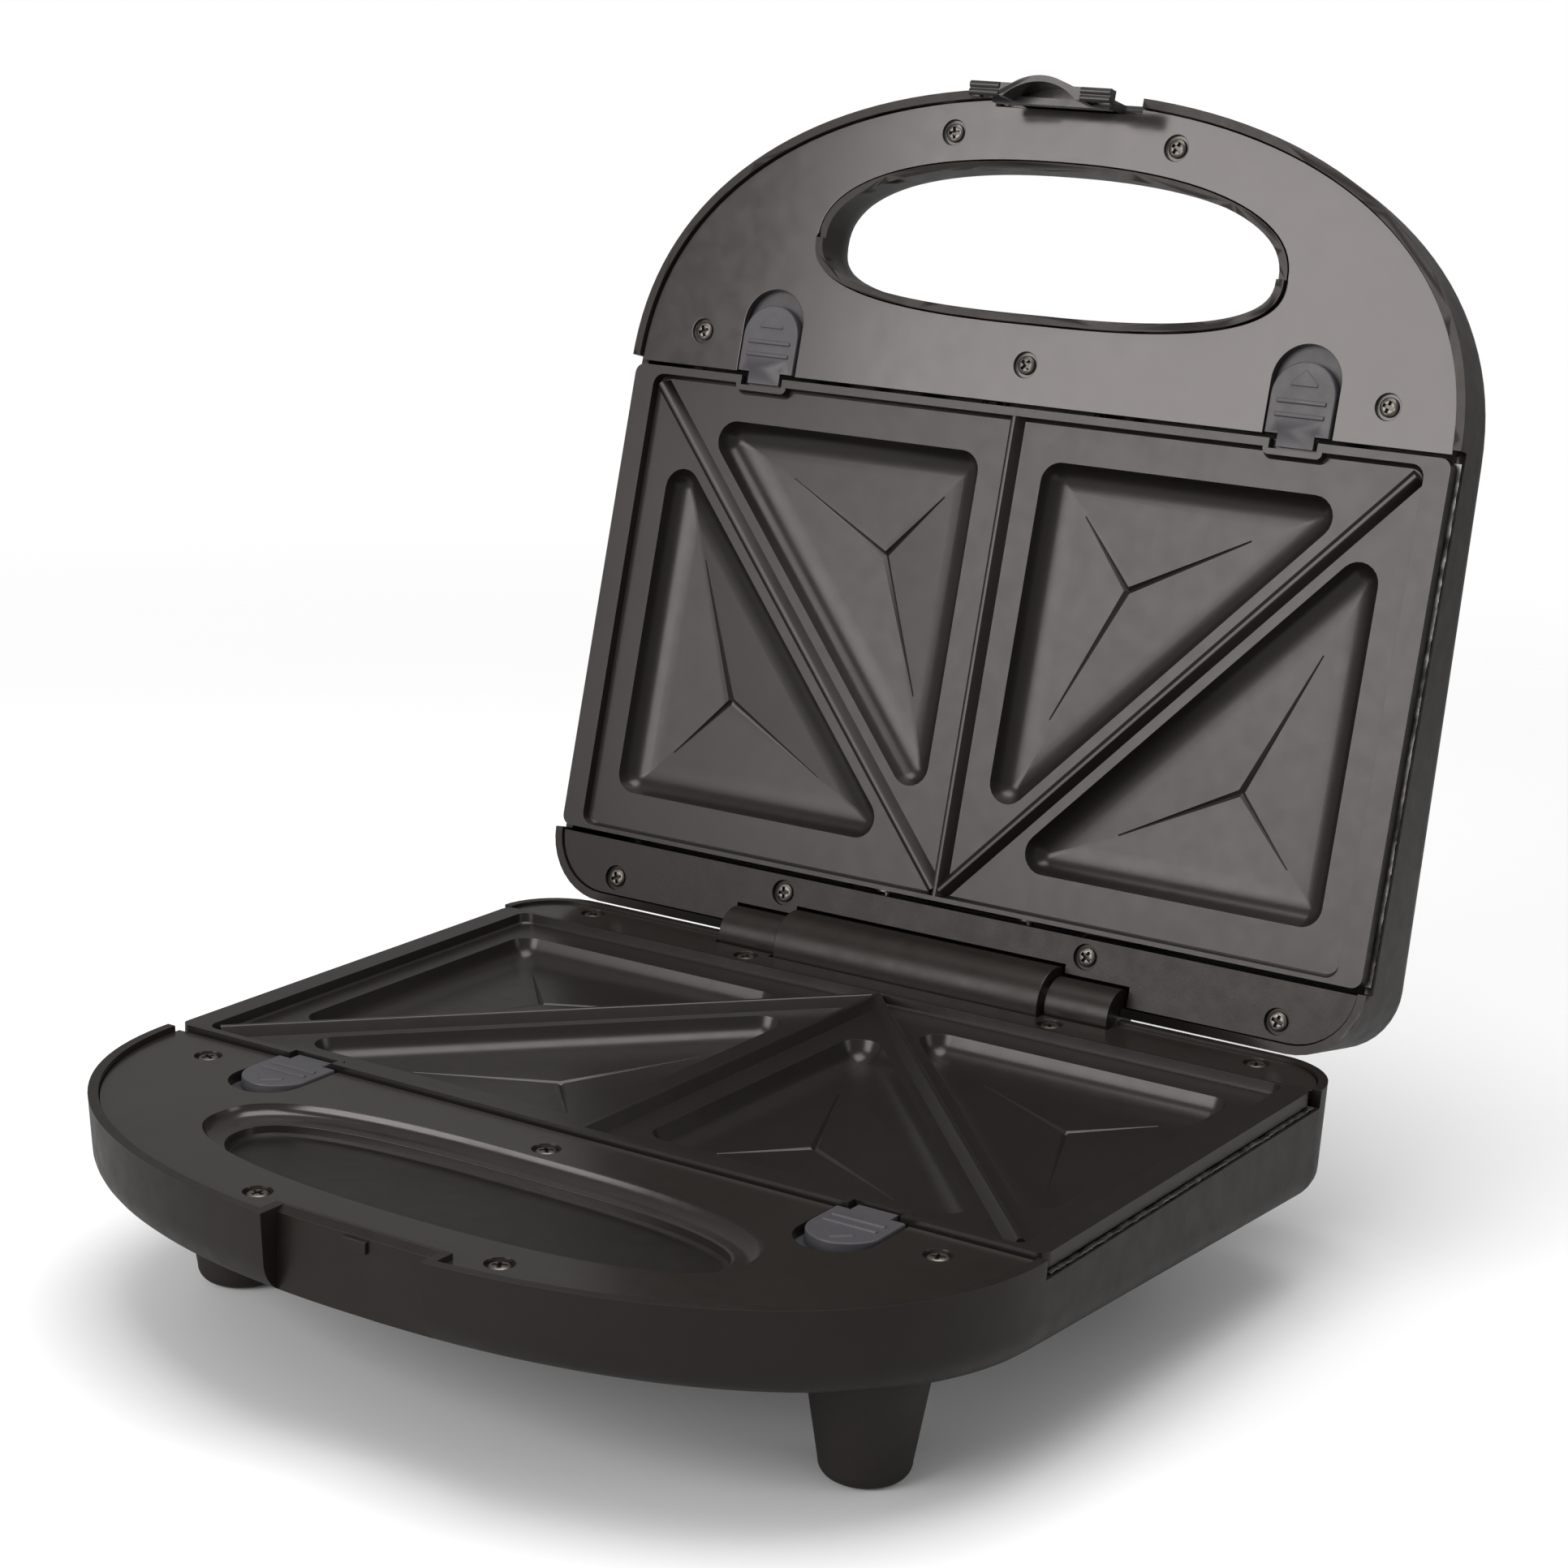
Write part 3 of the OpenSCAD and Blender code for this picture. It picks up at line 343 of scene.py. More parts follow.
def half_body(name, front, rear, skin=0, start=half_gap):
    """The closed solid of a half: leaning walls and a rounded outer edge. With a skin it is
    the room inside the walls."""
    tilt = half_tilt(front, rear)
    rings = [flat(outline(skin + draft * start), start)]
    for angle in arc(8):
        inset = skin + draft * (front - edge_radius) + (edge_radius - skin) * (1 - math.cos(angle))
        level = front - skin - (edge_radius - skin) * (1 - math.sin(angle))
        rings.append(tilted(outline(inset), level, tilt))
    return loft(name, rings)


def side_steps():
    """What the low side walls beside the plate leave free."""
    return block((-past_side, step_front, past_parting), (past_side, step_rear, side_step))


def wired(tree, kind, **inputs):
    """A new node with its inputs set, or wired where another node's socket is given."""
    node = tree.nodes.new(kind)
    for key, value in inputs.items():
        socket = node.inputs[key.replace("_", " ")]
        if isinstance(value, bpy.types.NodeSocket):
            tree.links.new(value, socket)
        else:
            socket.default_value = value
    return node


def spread(tree, value, low, high):
    """Maps a texture's middle range to the range low to high."""
    return wired(
        tree, "ShaderNodeMapRange", Value=value, From_Min=0.3, From_Max=0.7, To_Min=low, To_Max=high
    ).outputs["Result"]


def two_tones(tree, share, first, second):
    """Mixes two colours by a texture."""
    node = tree.nodes.new("ShaderNodeMix")
    node.data_type = "RGBA"
    tree.links.new(share, node.inputs[0])
    node.inputs[6].default_value = (*first, 1)
    node.inputs[7].default_value = (*second, 1)
    return node.outputs[2]


def surface(name, first, second, rough, grain, depth, metallic=0, specular=0.5):
    """A material with clouded colour, uneven gloss and a fine grain in relief."""
    material = bpy.data.materials.new(name)
    material.use_nodes = True
    tree = material.node_tree
    shader = tree.nodes["Principled BSDF"]
    place = tree.nodes.new("ShaderNodeTexCoord").outputs["Object"]
    cloud, rub, bumps = [
        wired(tree, "ShaderNodeTexNoise", Vector=place, Scale=scale, Detail=detail, Roughness=mix)
        for scale, detail, mix in ((38, 6, 0.6), (210, 4, 0.55), (grain, 3, 0.6))
    ]
    colour = two_tones(tree, spread(tree, cloud.outputs[0], 0, 1), first, second)
    gloss = spread(tree, rub.outputs[0], *rough)
    relief = wired(
        tree, "ShaderNodeBump", Height=bumps.outputs[0], Strength=0.6, Distance=depth
    ).outputs[0]
    for socket, value in (("Base Color", colour), ("Roughness", gloss), ("Normal", relief)):
        tree.links.new(value, shader.inputs[socket])
    shader.inputs["Metallic"].default_value = metallic
    shader.inputs["Specular IOR Level"].default_value = specular
    shader.inputs["Specular Tint"].default_value = (1, 0.94, 0.92, 1)
    return material


shell_plastic = surface(
    "satin_black_shell_plastic", (0.0095, 0.0075, 0.006), (0.0125, 0.0102, 0.0085),
    rough=(0.32, 0.42), grain=2600, depth=0.00003, specular=0.34,
)

lower_housing = half_body("lower_housing_shell", base_front, base_rear)
room = half_body("room", base_front, base_rear, wall, -0.001)
cut(room, front_block(notch_half + wall, notch_y + wall, past_shell))
cut(lower_housing, room)
cut(lower_housing, front_block(notch_half, notch_y, past_shell))
slope = []
for y, z in (
    (notch_y + slope_reach, -0.001), (notch_y + slope_reach, slope_top), (notch_y, slope_foot)
):
    slope.append(flat(
        [(-notch_half, past_front), (notch_half, past_front), (notch_half, y), (-notch_half, y)], z
    ))
cut(lower_housing, loft("slope", slope))
cut(lower_housing, side_steps())
cut(lower_housing, hinge_bar(-barrel_half, barrel_half, barrel_radius - 0.0005))
for side in (-1, 1):
    inner, outer = side * (barrel_half - 0.0004), side * (knuckle_end + turning_gap)
    cut(lower_housing, hinge_bar(inner, outer, knuckle_radius + turning_gap))
cut(lower_housing, round_bar(
    (gland_x, 0.12, gland_level), (gland_x, 0.145, gland_level), gland_seat_radius
))
soften(lower_housing, shell_edge, segments=3)
catch = block((-catch_half, catch_face, catch_low), (catch_half, notch_y + 0.0005, catch_high))
soften(catch, 0.0003)
weld(lower_housing, catch)
barrel = hinge_bar(-barrel_half, barrel_half, barrel_radius, hinge_sides)
weld(barrel, block(
    (-barrel_half, hinge_y - barrel_radius, 0), (barrel_half, hinge_y - 0.001, 0.012)
))
soften(barrel, hinge_edge)
weld(lower_housing, barrel)
alone(lower_housing)
shade()
put_on_base(lower_housing)
fit(lower_housing, shell_plastic, "base", "shell_plastic", "lower_housing")


flare_side, flare_back, flare_depth = 0.0095, 0.0052, 0.011
lid_skin, hole_wall = 0.0001, 0.002
collar_half, collar_front = 0.0665, -0.0605


def widened_hole(share, inset=0):
    """Outline of the handle hole, widened by a share of its flare."""
    side, back = share * flare_side - inset, share * flare_back - inset
    return oval(hole_half + side, hole_front + side, hole_back + back)


def handle_opening():
    """The handle hole through the lid, widening in a long round edge towards the outside."""
    tilt = half_tilt(lid_front, lid_rear)
    straight = widened_hole(0, hole_wall)
    rings = [flat(straight, past_parting), flat(straight, 0.005)]
    for angle in arc(10):
        level = lid_front - flare_depth * (1 - math.sin(angle))
        rings.append(tilted(widened_hole(1 - math.cos(angle), hole_wall), level, tilt))
    rings.append(tilted(widened_hole(1.1, hole_wall), lid_front + 0.02, tilt))
    return loft("opening", rings)


upper_housing = half_body("upper_housing_shell", lid_front, lid_rear, lid_skin)
room = half_body("room", lid_front, lid_rear, wall, -0.001)
liner = [(0, -0.02), (0, 0.006), (0.1, 0.011), (0.7, 0.0175), (0.7, 0.05)]
cut(room, loft("liner", [flat(widened_hole(share), level) for share, level in liner]))
cut(upper_housing, room)
cut(upper_housing, handle_opening())
cut(upper_housing, hinge_bar(-knuckle_start, knuckle_start, barrel_room))
cut(upper_housing, side_steps())
cut(upper_housing, front_block(window_half, notch_y, window_depth))
cut(upper_housing, block(
    (-collar_half, collar_front, past_parting), (collar_half, hole_y, panel_face)
))
for x in (-lamp_x, lamp_x):
    cut(upper_housing, round_bar((x, lamp_y, 0.01), (x, lamp_y, 0.04), lamp_hole_radius))
soften(upper_housing, shell_edge, segments=3)
for side in (-1, 1):
    knuckle = hinge_bar(side * knuckle_start, side * knuckle_end, knuckle_radius, hinge_sides)
    low, high = sorted((side * knuckle_start, side * (knuckle_end - 0.0002)))
    front = hinge_y - knuckle_radius + 0.0006
    weld(knuckle, block((low, front, 0), (high, hinge_y - 0.001, 0.0145)))
    soften(knuckle, hinge_edge)
    weld(upper_housing, knuckle)
alone(upper_housing)
shade()
put_on_lid(upper_housing)
fit(upper_housing, shell_plastic, "lid", "shell_plastic", "upper_housing")


# The inner panels: flat plastic covers let into each half in front of the plate and behind
# it. The front ones are glossy, with slots for the buttons and countersinks for the screws;
# the lower one is sunk into an oval finger recess under the handle hole.
panel_thickness, panel_inset = 0.0022, 0.0025
rear_panel_face, rear_panel_front = 0.001, 0.1207
front_screws = [
    (0.0933, -0.010), (-0.0933, -0.010), (0.0301, -0.0643), (-0.0301, -0.0643), (0, -0.0104),
]
rear_screws = [(0.0923, 0.1302), (-0.0923, 0.1302), (0.0423, 0.125), (-0.0423, 0.125)]
screw_seat_radius, screw_seat_depth = 0.0031, 0.0011
button_x = 0.0726
slot_width, slot_apex = 0.0173, -0.0222
step_oval = (0.0669, 0.0209, 0.0209)
well_oval = (0.061, 0.0195, 0.0155)
band_profile = [(0.06, 0.0010), (0.16, 0.0017), (0.32, 0.0022), (0.55, 0.0025), (0.85, 0.0026)]
well_profile = [(0, 0.0028), (0.0002, 0.0044), (0.0007, 0.0050), (0.0014, 0.0052)]
well_floor = 0.0040


def arch(width, apex, back, steps=24):
    """Outline of an arch: square at the back, round in front, centred on x = 0."""
    radius = width / 2
    places = []
    for step in range(steps + 1):
        turn = math.pi * step / steps
        places.append((-radius * math.cos(turn), apex + radius - radius * math.sin(turn)))
    return places + [(radius, back), (-radius, back)]


def inset_oval(shape, amount):
    """An oval with each of its three sizes less an amount."""
    return oval(*[size - amount for size in shape])


def screw_seats(panel, places, face):
    """Countersinks the screws' heads into a panel."""
    for x, y in places:
        top, bottom = (x, y, face - 0.002), (x, y, face + screw_seat_depth)
        cut(panel, round_bar(top, bottom, screw_seat_radius, 40))


def front_panel(name):
    """Front panel with its two button slots, still without the screw seats."""
    places = [(x, min(y, -0.001)) for x, y in half_curve(
        body_width / 2 - panel_inset, front_reach - panel_inset, front_power
    )]
    panel = slab(name, places, panel_face, panel_face + panel_thickness)
    for side in (-1, 1):
        slot = [(x + side * button_x, y) for x, y in arch(slot_width, slot_apex, 0.004)]
        cut(panel, slab("slot", slot, past_parting, past_panel))
    return panel


def finger_recess():
    """Tool of the finger recess: a broad hollowed band round a shallow flat-floored well."""
    rings = [flat(oval(*step_oval), -0.004), flat(oval(*step_oval), panel_face + 0.0002)]
    for share, sunk in band_profile:
        shape = [a + (b - a) * share for a, b in zip(step_oval, well_oval)]
        rings.append(flat(oval(*shape), panel_face + sunk))
    for inset, sunk in well_profile:
        rings.append(flat(inset_oval(well_oval, inset), panel_face + sunk))
    return loft("finger_recess", rings)


# The two panels are one plastic. The lid's is written about twice as light as the base's, which is
# painted light for the stronger light falling on the open lid's panel.
upper_panel_plastic = surface(
    "polished_lid_panel_plastic_painted_light", (0.030, 0.0262, 0.0250), (0.034, 0.0298, 0.0286),
    rough=(0.14, 0.19), grain=1500, depth=0.000003, specular=0.58,
)
lower_panel_plastic = surface(
    "polished_base_panel_plastic", (0.0135, 0.0112, 0.0098), (0.0165, 0.014, 0.0125),
    rough=(0.19, 0.25), grain=1500, depth=0.000006, specular=0.6,
)

lower_front_panel = front_panel("lower_front_panel_cover")
collar = inset_oval(step_oval, -0.0004)
bowl = inset_oval(well_oval, -0.0018)
weld(lower_front_panel, loft("bowl", [
    flat(collar, panel_face + 0.001),
    flat(collar, panel_face + 0.0048),
    flat(bowl, panel_face + 0.0049),
    flat(bowl, panel_face + 0.0075),
]))
cut(lower_front_panel, finger_recess())
notch_back = notch_y + wall + 0.0002
cut(lower_front_panel, front_block(notch_half + wall, notch_back, past_panel))
screw_seats(lower_front_panel, front_screws, panel_face)
soften(lower_front_panel, 0.00035, smooth=30)
put_on_base(lower_front_panel)
fit(lower_front_panel, lower_panel_plastic, "base", "lower_panel_plastic", "lower_front_panel")
well_plastic = surface(
    "matt_recess_plastic", (0.0065, 0.0055, 0.0050), (0.0090, 0.0076, 0.0068),
    rough=(0.34, 0.42), grain=2400, depth=0.00002, specular=0.4,
)
lower_front_panel.data.materials.append(well_plastic)
well_level = parting_height - panel_face - well_floor
for face in lower_front_panel.data.polygons:
    if face.center.z < well_level and face.normal.z > 0.3:
        face.material_index = 1

upper_front_panel = front_panel("upper_front_panel_cover")
ring = inset_oval((hole_half, hole_front, hole_back), -0.0003)
cut(upper_front_panel, slab("hole", ring, past_parting, past_panel))
cut(upper_front_panel, front_block(notch_half, -0.0713, past_panel))
screw_seats(upper_front_panel, front_screws, panel_face)
soften(upper_front_panel, 0.0003, smooth=30)
put_on_lid(upper_front_panel)
fit(upper_front_panel, upper_panel_plastic, "lid", "upper_panel_plastic", "upper_front_panel")


def rear_panel(name):
    """Strip behind the plate, cut round the hinge."""
    rear = [place for place in outline(panel_inset) if place[1] > rear_panel_front + 0.0005]
    edge = body_width / 2 - panel_inset
    places = [(edge, rear_panel_front)] + rear + [(-edge, rear_panel_front)]
    panel = slab(name, places, rear_panel_face, rear_panel_face + panel_thickness)
    cut(panel, hinge_bar(-knuckle_start, knuckle_start, barrel_room))
    for side in (-1, 1):
        inner, outer = side * barrel_half, side * (knuckle_end + 0.0008)
        cut(panel, hinge_bar(inner, outer, knuckle_radius + 0.0008))
    screw_seats(panel, rear_screws, rear_panel_face)
    soften(panel, 0.0004, segments=3, smooth=30)
    return panel


lower_rear_panel = rear_panel("lower_rear_panel_strip")
upper_rear_panel = twin(lower_rear_panel, "upper_rear_panel_strip")
put_on_base(lower_rear_panel)
put_on_lid(upper_rear_panel)
fit(lower_rear_panel, lower_panel_plastic, "base", "lower_panel_plastic", "lower_rear_panel")
fit(upper_rear_panel, shell_plastic, "lid", "upper_panel_plastic", "upper_rear_panel")


# The cooking plates: cast aluminium with a dark non-stick coat. Each has a raised rim that
# bows round the two button tongues, a flat field, a middle ridge and two slanting ones, and
# four three-cornered pockets, their floors creased from the middle towards the corners.
plate_half, plate_depth = 0.111, 0.1193
rim_level, field_level, flange_under, plate_under = 0.0003, 0.0028, 0.0035, 0.0098
tongue_notch_half, tongue_notch_depth = 0.006, 0.0023
pocket_radius, floor_slope = 0.005, 0.02
near_x, near_y, far_x, far_y = 0.0087, 0.0115, 0.0977, 0.1083
pocket_profile = [
    (-0.0006, -0.0012), (0, 0.0001), (0.0004, 0.0011), (0.0009, 0.0022), (0.0016, 0.0032),
    (0.0027, 0.0040), (0.0042, 0.0046), (0.0061, 0.0049), (0.0084, 0.00505),
]
pocket_reach = 0.0245
ridge_start, ridge_end = Vector((0.103, 0.0045)), Vector((0.001, 0.1167))
ridge_side = Vector((ridge_end.y - ridge_start.y, ridge_start.x - ridge_end.x)).normalized()
land = 0.0046
ridge_profile = [(-0.0024, 0.0034), (-0.0021, 0.0029), (-0.0007, 0.0006), (-0.0004, 0.00036)]
field_profile = [
    (0.0058, 0.0018, 0.0009, 0.0012, rim_level - 0.001),
    (0.006, 0.002, 0.0011, 0.0014, rim_level),
    (0.0064, 0.0024, 0.0014, 0.0018, field_level - 0.0004),
    (0.0069, 0.0029, 0.0018, 0.0023, field_level),
]
creases = [
    ((0.0335, 0.039), [(0.0195, 0.023), (0.063, 0.0235), (0.019, 0.072)]),
    ((0.071, 0.081), [(0.0855, 0.047), (0.042, 0.096), (0.0855, 0.0965)]),
]


def corner(x, y, radius, start, steps=5):
    """A quarter-round corner, counter-clockwise from a starting angle."""
    return [
        (x + radius * math.cos(start + a), y + radius * math.sin(start + a)) for a in arc(steps)
    ]


def rounded_box(half, front, rear, radius):
    """Outline of a rounded rectangle."""
    places = corner(-half + radius, front + radius, radius, math.pi)
    places += corner(half - radius, front + radius, radius, -math.pi / 2)
    places += corner(half - radius, rear - radius, radius, 0)
    return places + corner(-half + radius, rear - radius, radius, math.pi / 2)


def field_outline(side, front, rear, bow):
    """Outline of the sunk field, its front edge bowing round the two notches."""
    half, radius = plate_half - side, 0.003
    places = corner(-half + radius, front + radius, radius, math.pi)
    for x in (-button_x, button_x):
        reach = tongue_notch_half + bow
        top = tongue_notch_depth + bow
        places.append((x - reach, front))
        places += reversed(corner(x - reach + bow, top - bow, bow, math.pi / 2))
        places += reversed(corner(x + reach - bow, top - bow, bow, 0))
        places.append((x + reach, front))
    places += corner(half - radius, front + radius, radius, -math.pi / 2)
    places += corner(half - radius, plate_depth - rear - radius, radius, 0)
    return places + corner(-half + radius, plate_depth - rear - radius, radius, math.pi / 2)


def pocket_corners(corner_x, corner_y, sign, inset):
    """The three corners of a pocket's outline drawn in by an inset."""
    x, y = corner_x + sign * inset, corner_y + sign * inset
    line = ridge_side @ ridge_start - sign * (land + inset)
    reach_x = (line - ridge_side.y * y) / ridge_side.x
    reach_y = (line - ridge_side.x * x) / ridge_side.y
    return [(x, y), (reach_x, y), (x, reach_y)]


def pocket_ring(corner_x, corner_y, sign, inset, z, steps=8):
    """One level of a pocket: its outline with rounded corners."""
    radius = max(pocket_radius - inset, smallest_radius)
    centres = [Vector(c) for c in pocket_corners(corner_x, corner_y, sign, inset + radius)]
    places = []
    for i, centre in enumerate(centres):
        before, after = centre - centres[i - 1], centres[(i + 1) % 3] - centre
        start = math.atan2(-before.x, before.y)
        turn = before.angle_signed(after)
        for step in range(steps + 1):
            angle = start - turn * step / steps
            x, y = centre.x + radius * math.cos(angle), centre.y + radius * math.sin(angle)
            places.append((x, y, z))
    return places


def pocket(corner_x, corner_y, sign):
    """Tool that sinks a pocket: a steep wall running out into a floor that dips to the middle."""
    rings = []
    for inset, sink in pocket_profile:
        rings.append(pocket_ring(corner_x, corner_y, sign, inset, field_level + sink))
    deepest = field_level + sink + floor_slope * (pocket_reach - inset)
    return loft("pocket", rings + [pocket_ring(corner_x, corner_y, sign, pocket_reach, deepest)])


def floor_depth(x, y):
    """Depth of a pocket's floor at a place."""
    gap = ridge_side @ Vector((x, y)) - ridge_side @ ridge_start
    if gap < 0:
        inset = min(x - near_x, y - near_y, -gap - land)
    else:
        inset = min(far_x - x, far_y - y, gap - land)
    return field_level + pocket_profile[-1][1] + floor_slope * (inset - pocket_profile[-1][0])


def crease(middle, end):
    """Tool of one crease: a groove, deepest in the middle and running out at its end."""
    along = (Vector(end) - Vector(middle)).normalized()
    across = Vector((along.y, -along.x))
    rings = []
    for place, half, depth in ((middle, 0.0008, 0.0007), (end, 0.0002, 0.00012)):
        level = floor_depth(*place)
        section = [(-2 * half, level - depth), (2 * half, level - depth), (0, level + depth)]
        rings.append([(place[0] + across.x * x, place[1] + across.y * x, z) for x, z in section])
    return loft("crease", rings)


def mirrored(tool):
    """A copy of a tool on the other side of x = 0."""
    copy = twin(tool, tool.name)
    copy.scale.x = -1
    settle(copy)
    edit(copy)
    face_outwards()
    return copy


def ridge(a, b):
    """A clean round-topped ridge between two points of the field."""
    along = (Vector(b) - Vector(a)).normalized()
    across = Vector((along.y, -along.x))
    other_side = [(-x, z) for x, z in reversed(ridge_profile)]
    profile = ridge_profile + [(0, 0.0003)] + other_side
    rings = []
    for end in (a, b):
        rings.append([(end[0] + across.x * x, end[1] + across.y * x, z) for x, z in profile])
    return loft("ridge", rings)


def cooking_plate(name):
    """One casting, lying in its half."""
    flange = rounded_box(plate_half, 0, plate_depth, 0.0025)
    upper = rounded_box(plate_half - 0.0045, 0.0015, plate_depth - 0.0015, 0.004)
    lower = rounded_box(plate_half - 0.005, 0.002, plate_depth - 0.002, 0.004)
    plate = loft(name, [
        flat(flange, rim_level), flat(flange, flange_under),
        flat(upper, flange_under + 0.0001), flat(lower, plate_under),
    ])
    field = [flat(field_outline(*shape), level) for *shape, level in field_profile]
    cut(plate, loft("field", field))
    bars = [ridge((0, 0.002), (0, 0.1185)), ridge(ridge_start, ridge_end)]
    bars.append(mirrored(bars[1]))
    for bar in bars:
        weld(plate, bar)
    for tool in (pocket(near_x, near_y, 1), pocket(far_x, far_y, -1)):
        cut(plate, mirrored(tool))
        cut(plate, tool)
    for middle, ends in creases:
        for end in ends:
            tool = crease(middle, end)
            cut(plate, mirrored(tool))
            cut(plate, tool)
    for x in (-button_x, button_x):
        half = tongue_notch_half
        cut(plate, block((x - half, -0.01, past_parting), (x + half, tongue_notch_depth, 0.0025)))
    soften(plate, 0.0003, segments=3, limit=30, smooth=28)
    return plate


plate_coating = surface(
    "dark_non_stick_coating", (0.0105, 0.0090, 0.0082), (0.0125, 0.0108, 0.0100),
    rough=(0.28, 0.33), grain=3400, depth=0.000015, specular=0.47,
)
lower_plate = cooking_plate("lower_cooking_plate_casting")
upper_plate = twin(lower_plate, "upper_cooking_plate_casting")
fit_pair(lower_plate, upper_plate, plate_coating, "plate_coating", "cooking_plate")


# The reflector trays: thin bright sheet folded into a tray under each plate. Its rough-cut,
# crinkled flanges lie on the housing's low side walls and glint beside the plate.
tray_ring_points = 150
tray_half, tray_front, tray_rear = 0.1074, 0.001, 0.1182
flange_level, flange_width, sheet = 0.0041, 0.0045, 0.0003
crinkle_scale, crinkle_lift, crinkle_sway = 520, 0.0004, 0.00025


def tray_ring(half_width, front, rear, z):
    """A rectangular ring of evenly spread points."""
    right, left = half_width, -half_width
    corners = [(right, front), (right, rear), (left, rear), (left, front), (right, front)]
    places = []
    for (x, y), (next_x, next_y) in zip(corners, corners[1:]):
        for i in range(tray_ring_points):
            share = i / tray_ring_points
            places.append((x + (next_x - x) * share, y + (next_y - y) * share, z))
    return places


def reflector(name, seed):
    """A folded tray, its flanges crinkled."""
    tray = loft(name, [
        tray_ring(0.1119, 0.0006, 0.1186, flange_level),
        tray_ring(0.1109, 0.0008, 0.1184, flange_level),
        tray_ring(tray_half, tray_front, tray_rear, flange_level + 0.0001),
        tray_ring(tray_half, tray_front, tray_rear, 0.0105),
        tray_ring(0.104, tray_front, tray_rear, 0.0184),
    ])
    pick_faces(tray, lambda face: len(face.verts) > 4 and face.calc_center_median().z < 0.01)
    bpy.ops.mesh.delete(type="FACE")
    bpy.ops.object.mode_set(mode="OBJECT")
    for vertex in tray.data.vertices:
        if vertex.co.z < 0.005 and 0.002 < vertex.co.y < 0.118:
            spot = vertex.co * crinkle_scale + Vector((seed, 0, 0))
            lift = noise.noise(spot) + 0.6 * noise.noise(spot * 2.3)
            reach = max((abs(vertex.co.x) - tray_half) / flange_width, 0)
            sway = crinkle_sway * noise.noise(spot * 1.7) * reach
            vertex.co.z += crinkle_lift * lift * reach
            vertex.co.x += math.copysign(sway, vertex.co.x)
    alone(tray)
    modify(tray, "SOLIDIFY", thickness=sheet, offset=0)
    shade(25)
    return tray


# The sheet is bright aluminised metal, but its colour is written as a dull dark grey on both trays.
# This is painted shade for the shadowed gap beside the plate.
reflector_metal = surface(
    "crinkled_aluminised_sheet_painted_shade", (0.16, 0.155, 0.15), (0.30, 0.295, 0.29),
    rough=(0.3, 0.5), grain=900, depth=0.00012, metallic=1,
)
lower_reflector = reflector("lower_reflector_tray", 3)
upper_reflector = reflector("upper_reflector_tray", 11)
fit_pair(lower_reflector, upper_reflector, reflector_metal, "reflector_metal", "reflector")


# The release buttons: bluish grey sliders shaped like arches in the panels' slots, with two
# ribs and an arrow for the thumb. A carrier plate under the panel fills the slot's end, and
# a small steel spring behind it pushes the button's tongue over the plate's notched rim.
button_width, button_apex, button_back, button_face = 0.0162, -0.0182, -0.0013, 0.001
rib_half, rib_width, rib_places = 0.0062, 0.0011, (-0.0094, -0.0062)
spring_wire, spring_radius, spring_turns, turn_pitch = 0.00028, 0.0016, 7, 0.00147
spring_back, spring_level, spring_half_length = -0.0267, 0.0064, 0.00545


def release_button(name):
    """One button, centred on x = 0."""
    rings = []
    for inset, level in ((0, 0.0042), (0, 0.0014), (0.00015, 0.0011), (0.00045, button_face)):
        shape = arch(button_width - 2 * inset, button_apex + inset, button_back)
        rings.append(flat(shape, level))
    body = loft(name, rings)
    for y in rib_places:
        rib = block(
            (-rib_half, y, button_face - 0.0004), (rib_half, y + rib_width, button_face + 0.001)
        )
        soften(rib, 0.0003, segments=3)
        weld(body, rib)
    tip = [
        (-0.0034, -0.0131), (0, -0.0163), (0.0034, -0.0131), (0.0034, -0.0124), (-0.0034, -0.0124),
    ]
    arrow = slab("arrow", tip, button_face - 0.00025, button_face + 0.001)
    soften(arrow, 0.0002)
    weld(body, arrow)
    carrier = arch(0.0194, -0.0229, -0.0025)
    weld(body, slab("carrier", carrier, 0.0039, 0.0044))
    weld(body, block((-0.004, -0.016, 0.004), (0.004, -0.013, 0.0086)))
    tongue = block((-0.0046, button_back - 0.001, button_face), (0.0046, 0.0017, 0.0022))
    weld(body, tongue)
    soften(body, 0.00015)
    return body


def button_spring(name):
    """A steel spring of seven turns, centred on x = 0."""
    bpy.ops.mesh.primitive_circle_add(
        vertices=8, radius=spring_wire, location=(spring_radius, 0, 0), rotation=(math.pi / 2, 0, 0)
    )
    spring = bpy.context.object
    rename(spring, name)
    settle(spring)
    modify(
        spring, "SCREW", axis="Z", screw_offset=turn_pitch, iterations=spring_turns,
        steps=20, render_steps=20,
    )
    spring.rotation_euler = (-math.pi / 2, 0, 0)
    spring.location = (0, spring_back, spring_level)
    settle(spring)
    edit(spring)
    bpy.ops.mesh.remove_doubles(threshold=0.00001)
    bpy.ops.mesh.select_mode(type="EDGE")
    bpy.ops.mesh.select_all(action="DESELECT")
    bpy.ops.mesh.select_non_manifold()
    bpy.ops.mesh.edge_face_add()
    face_outwards()
    shade(60)
    return spring


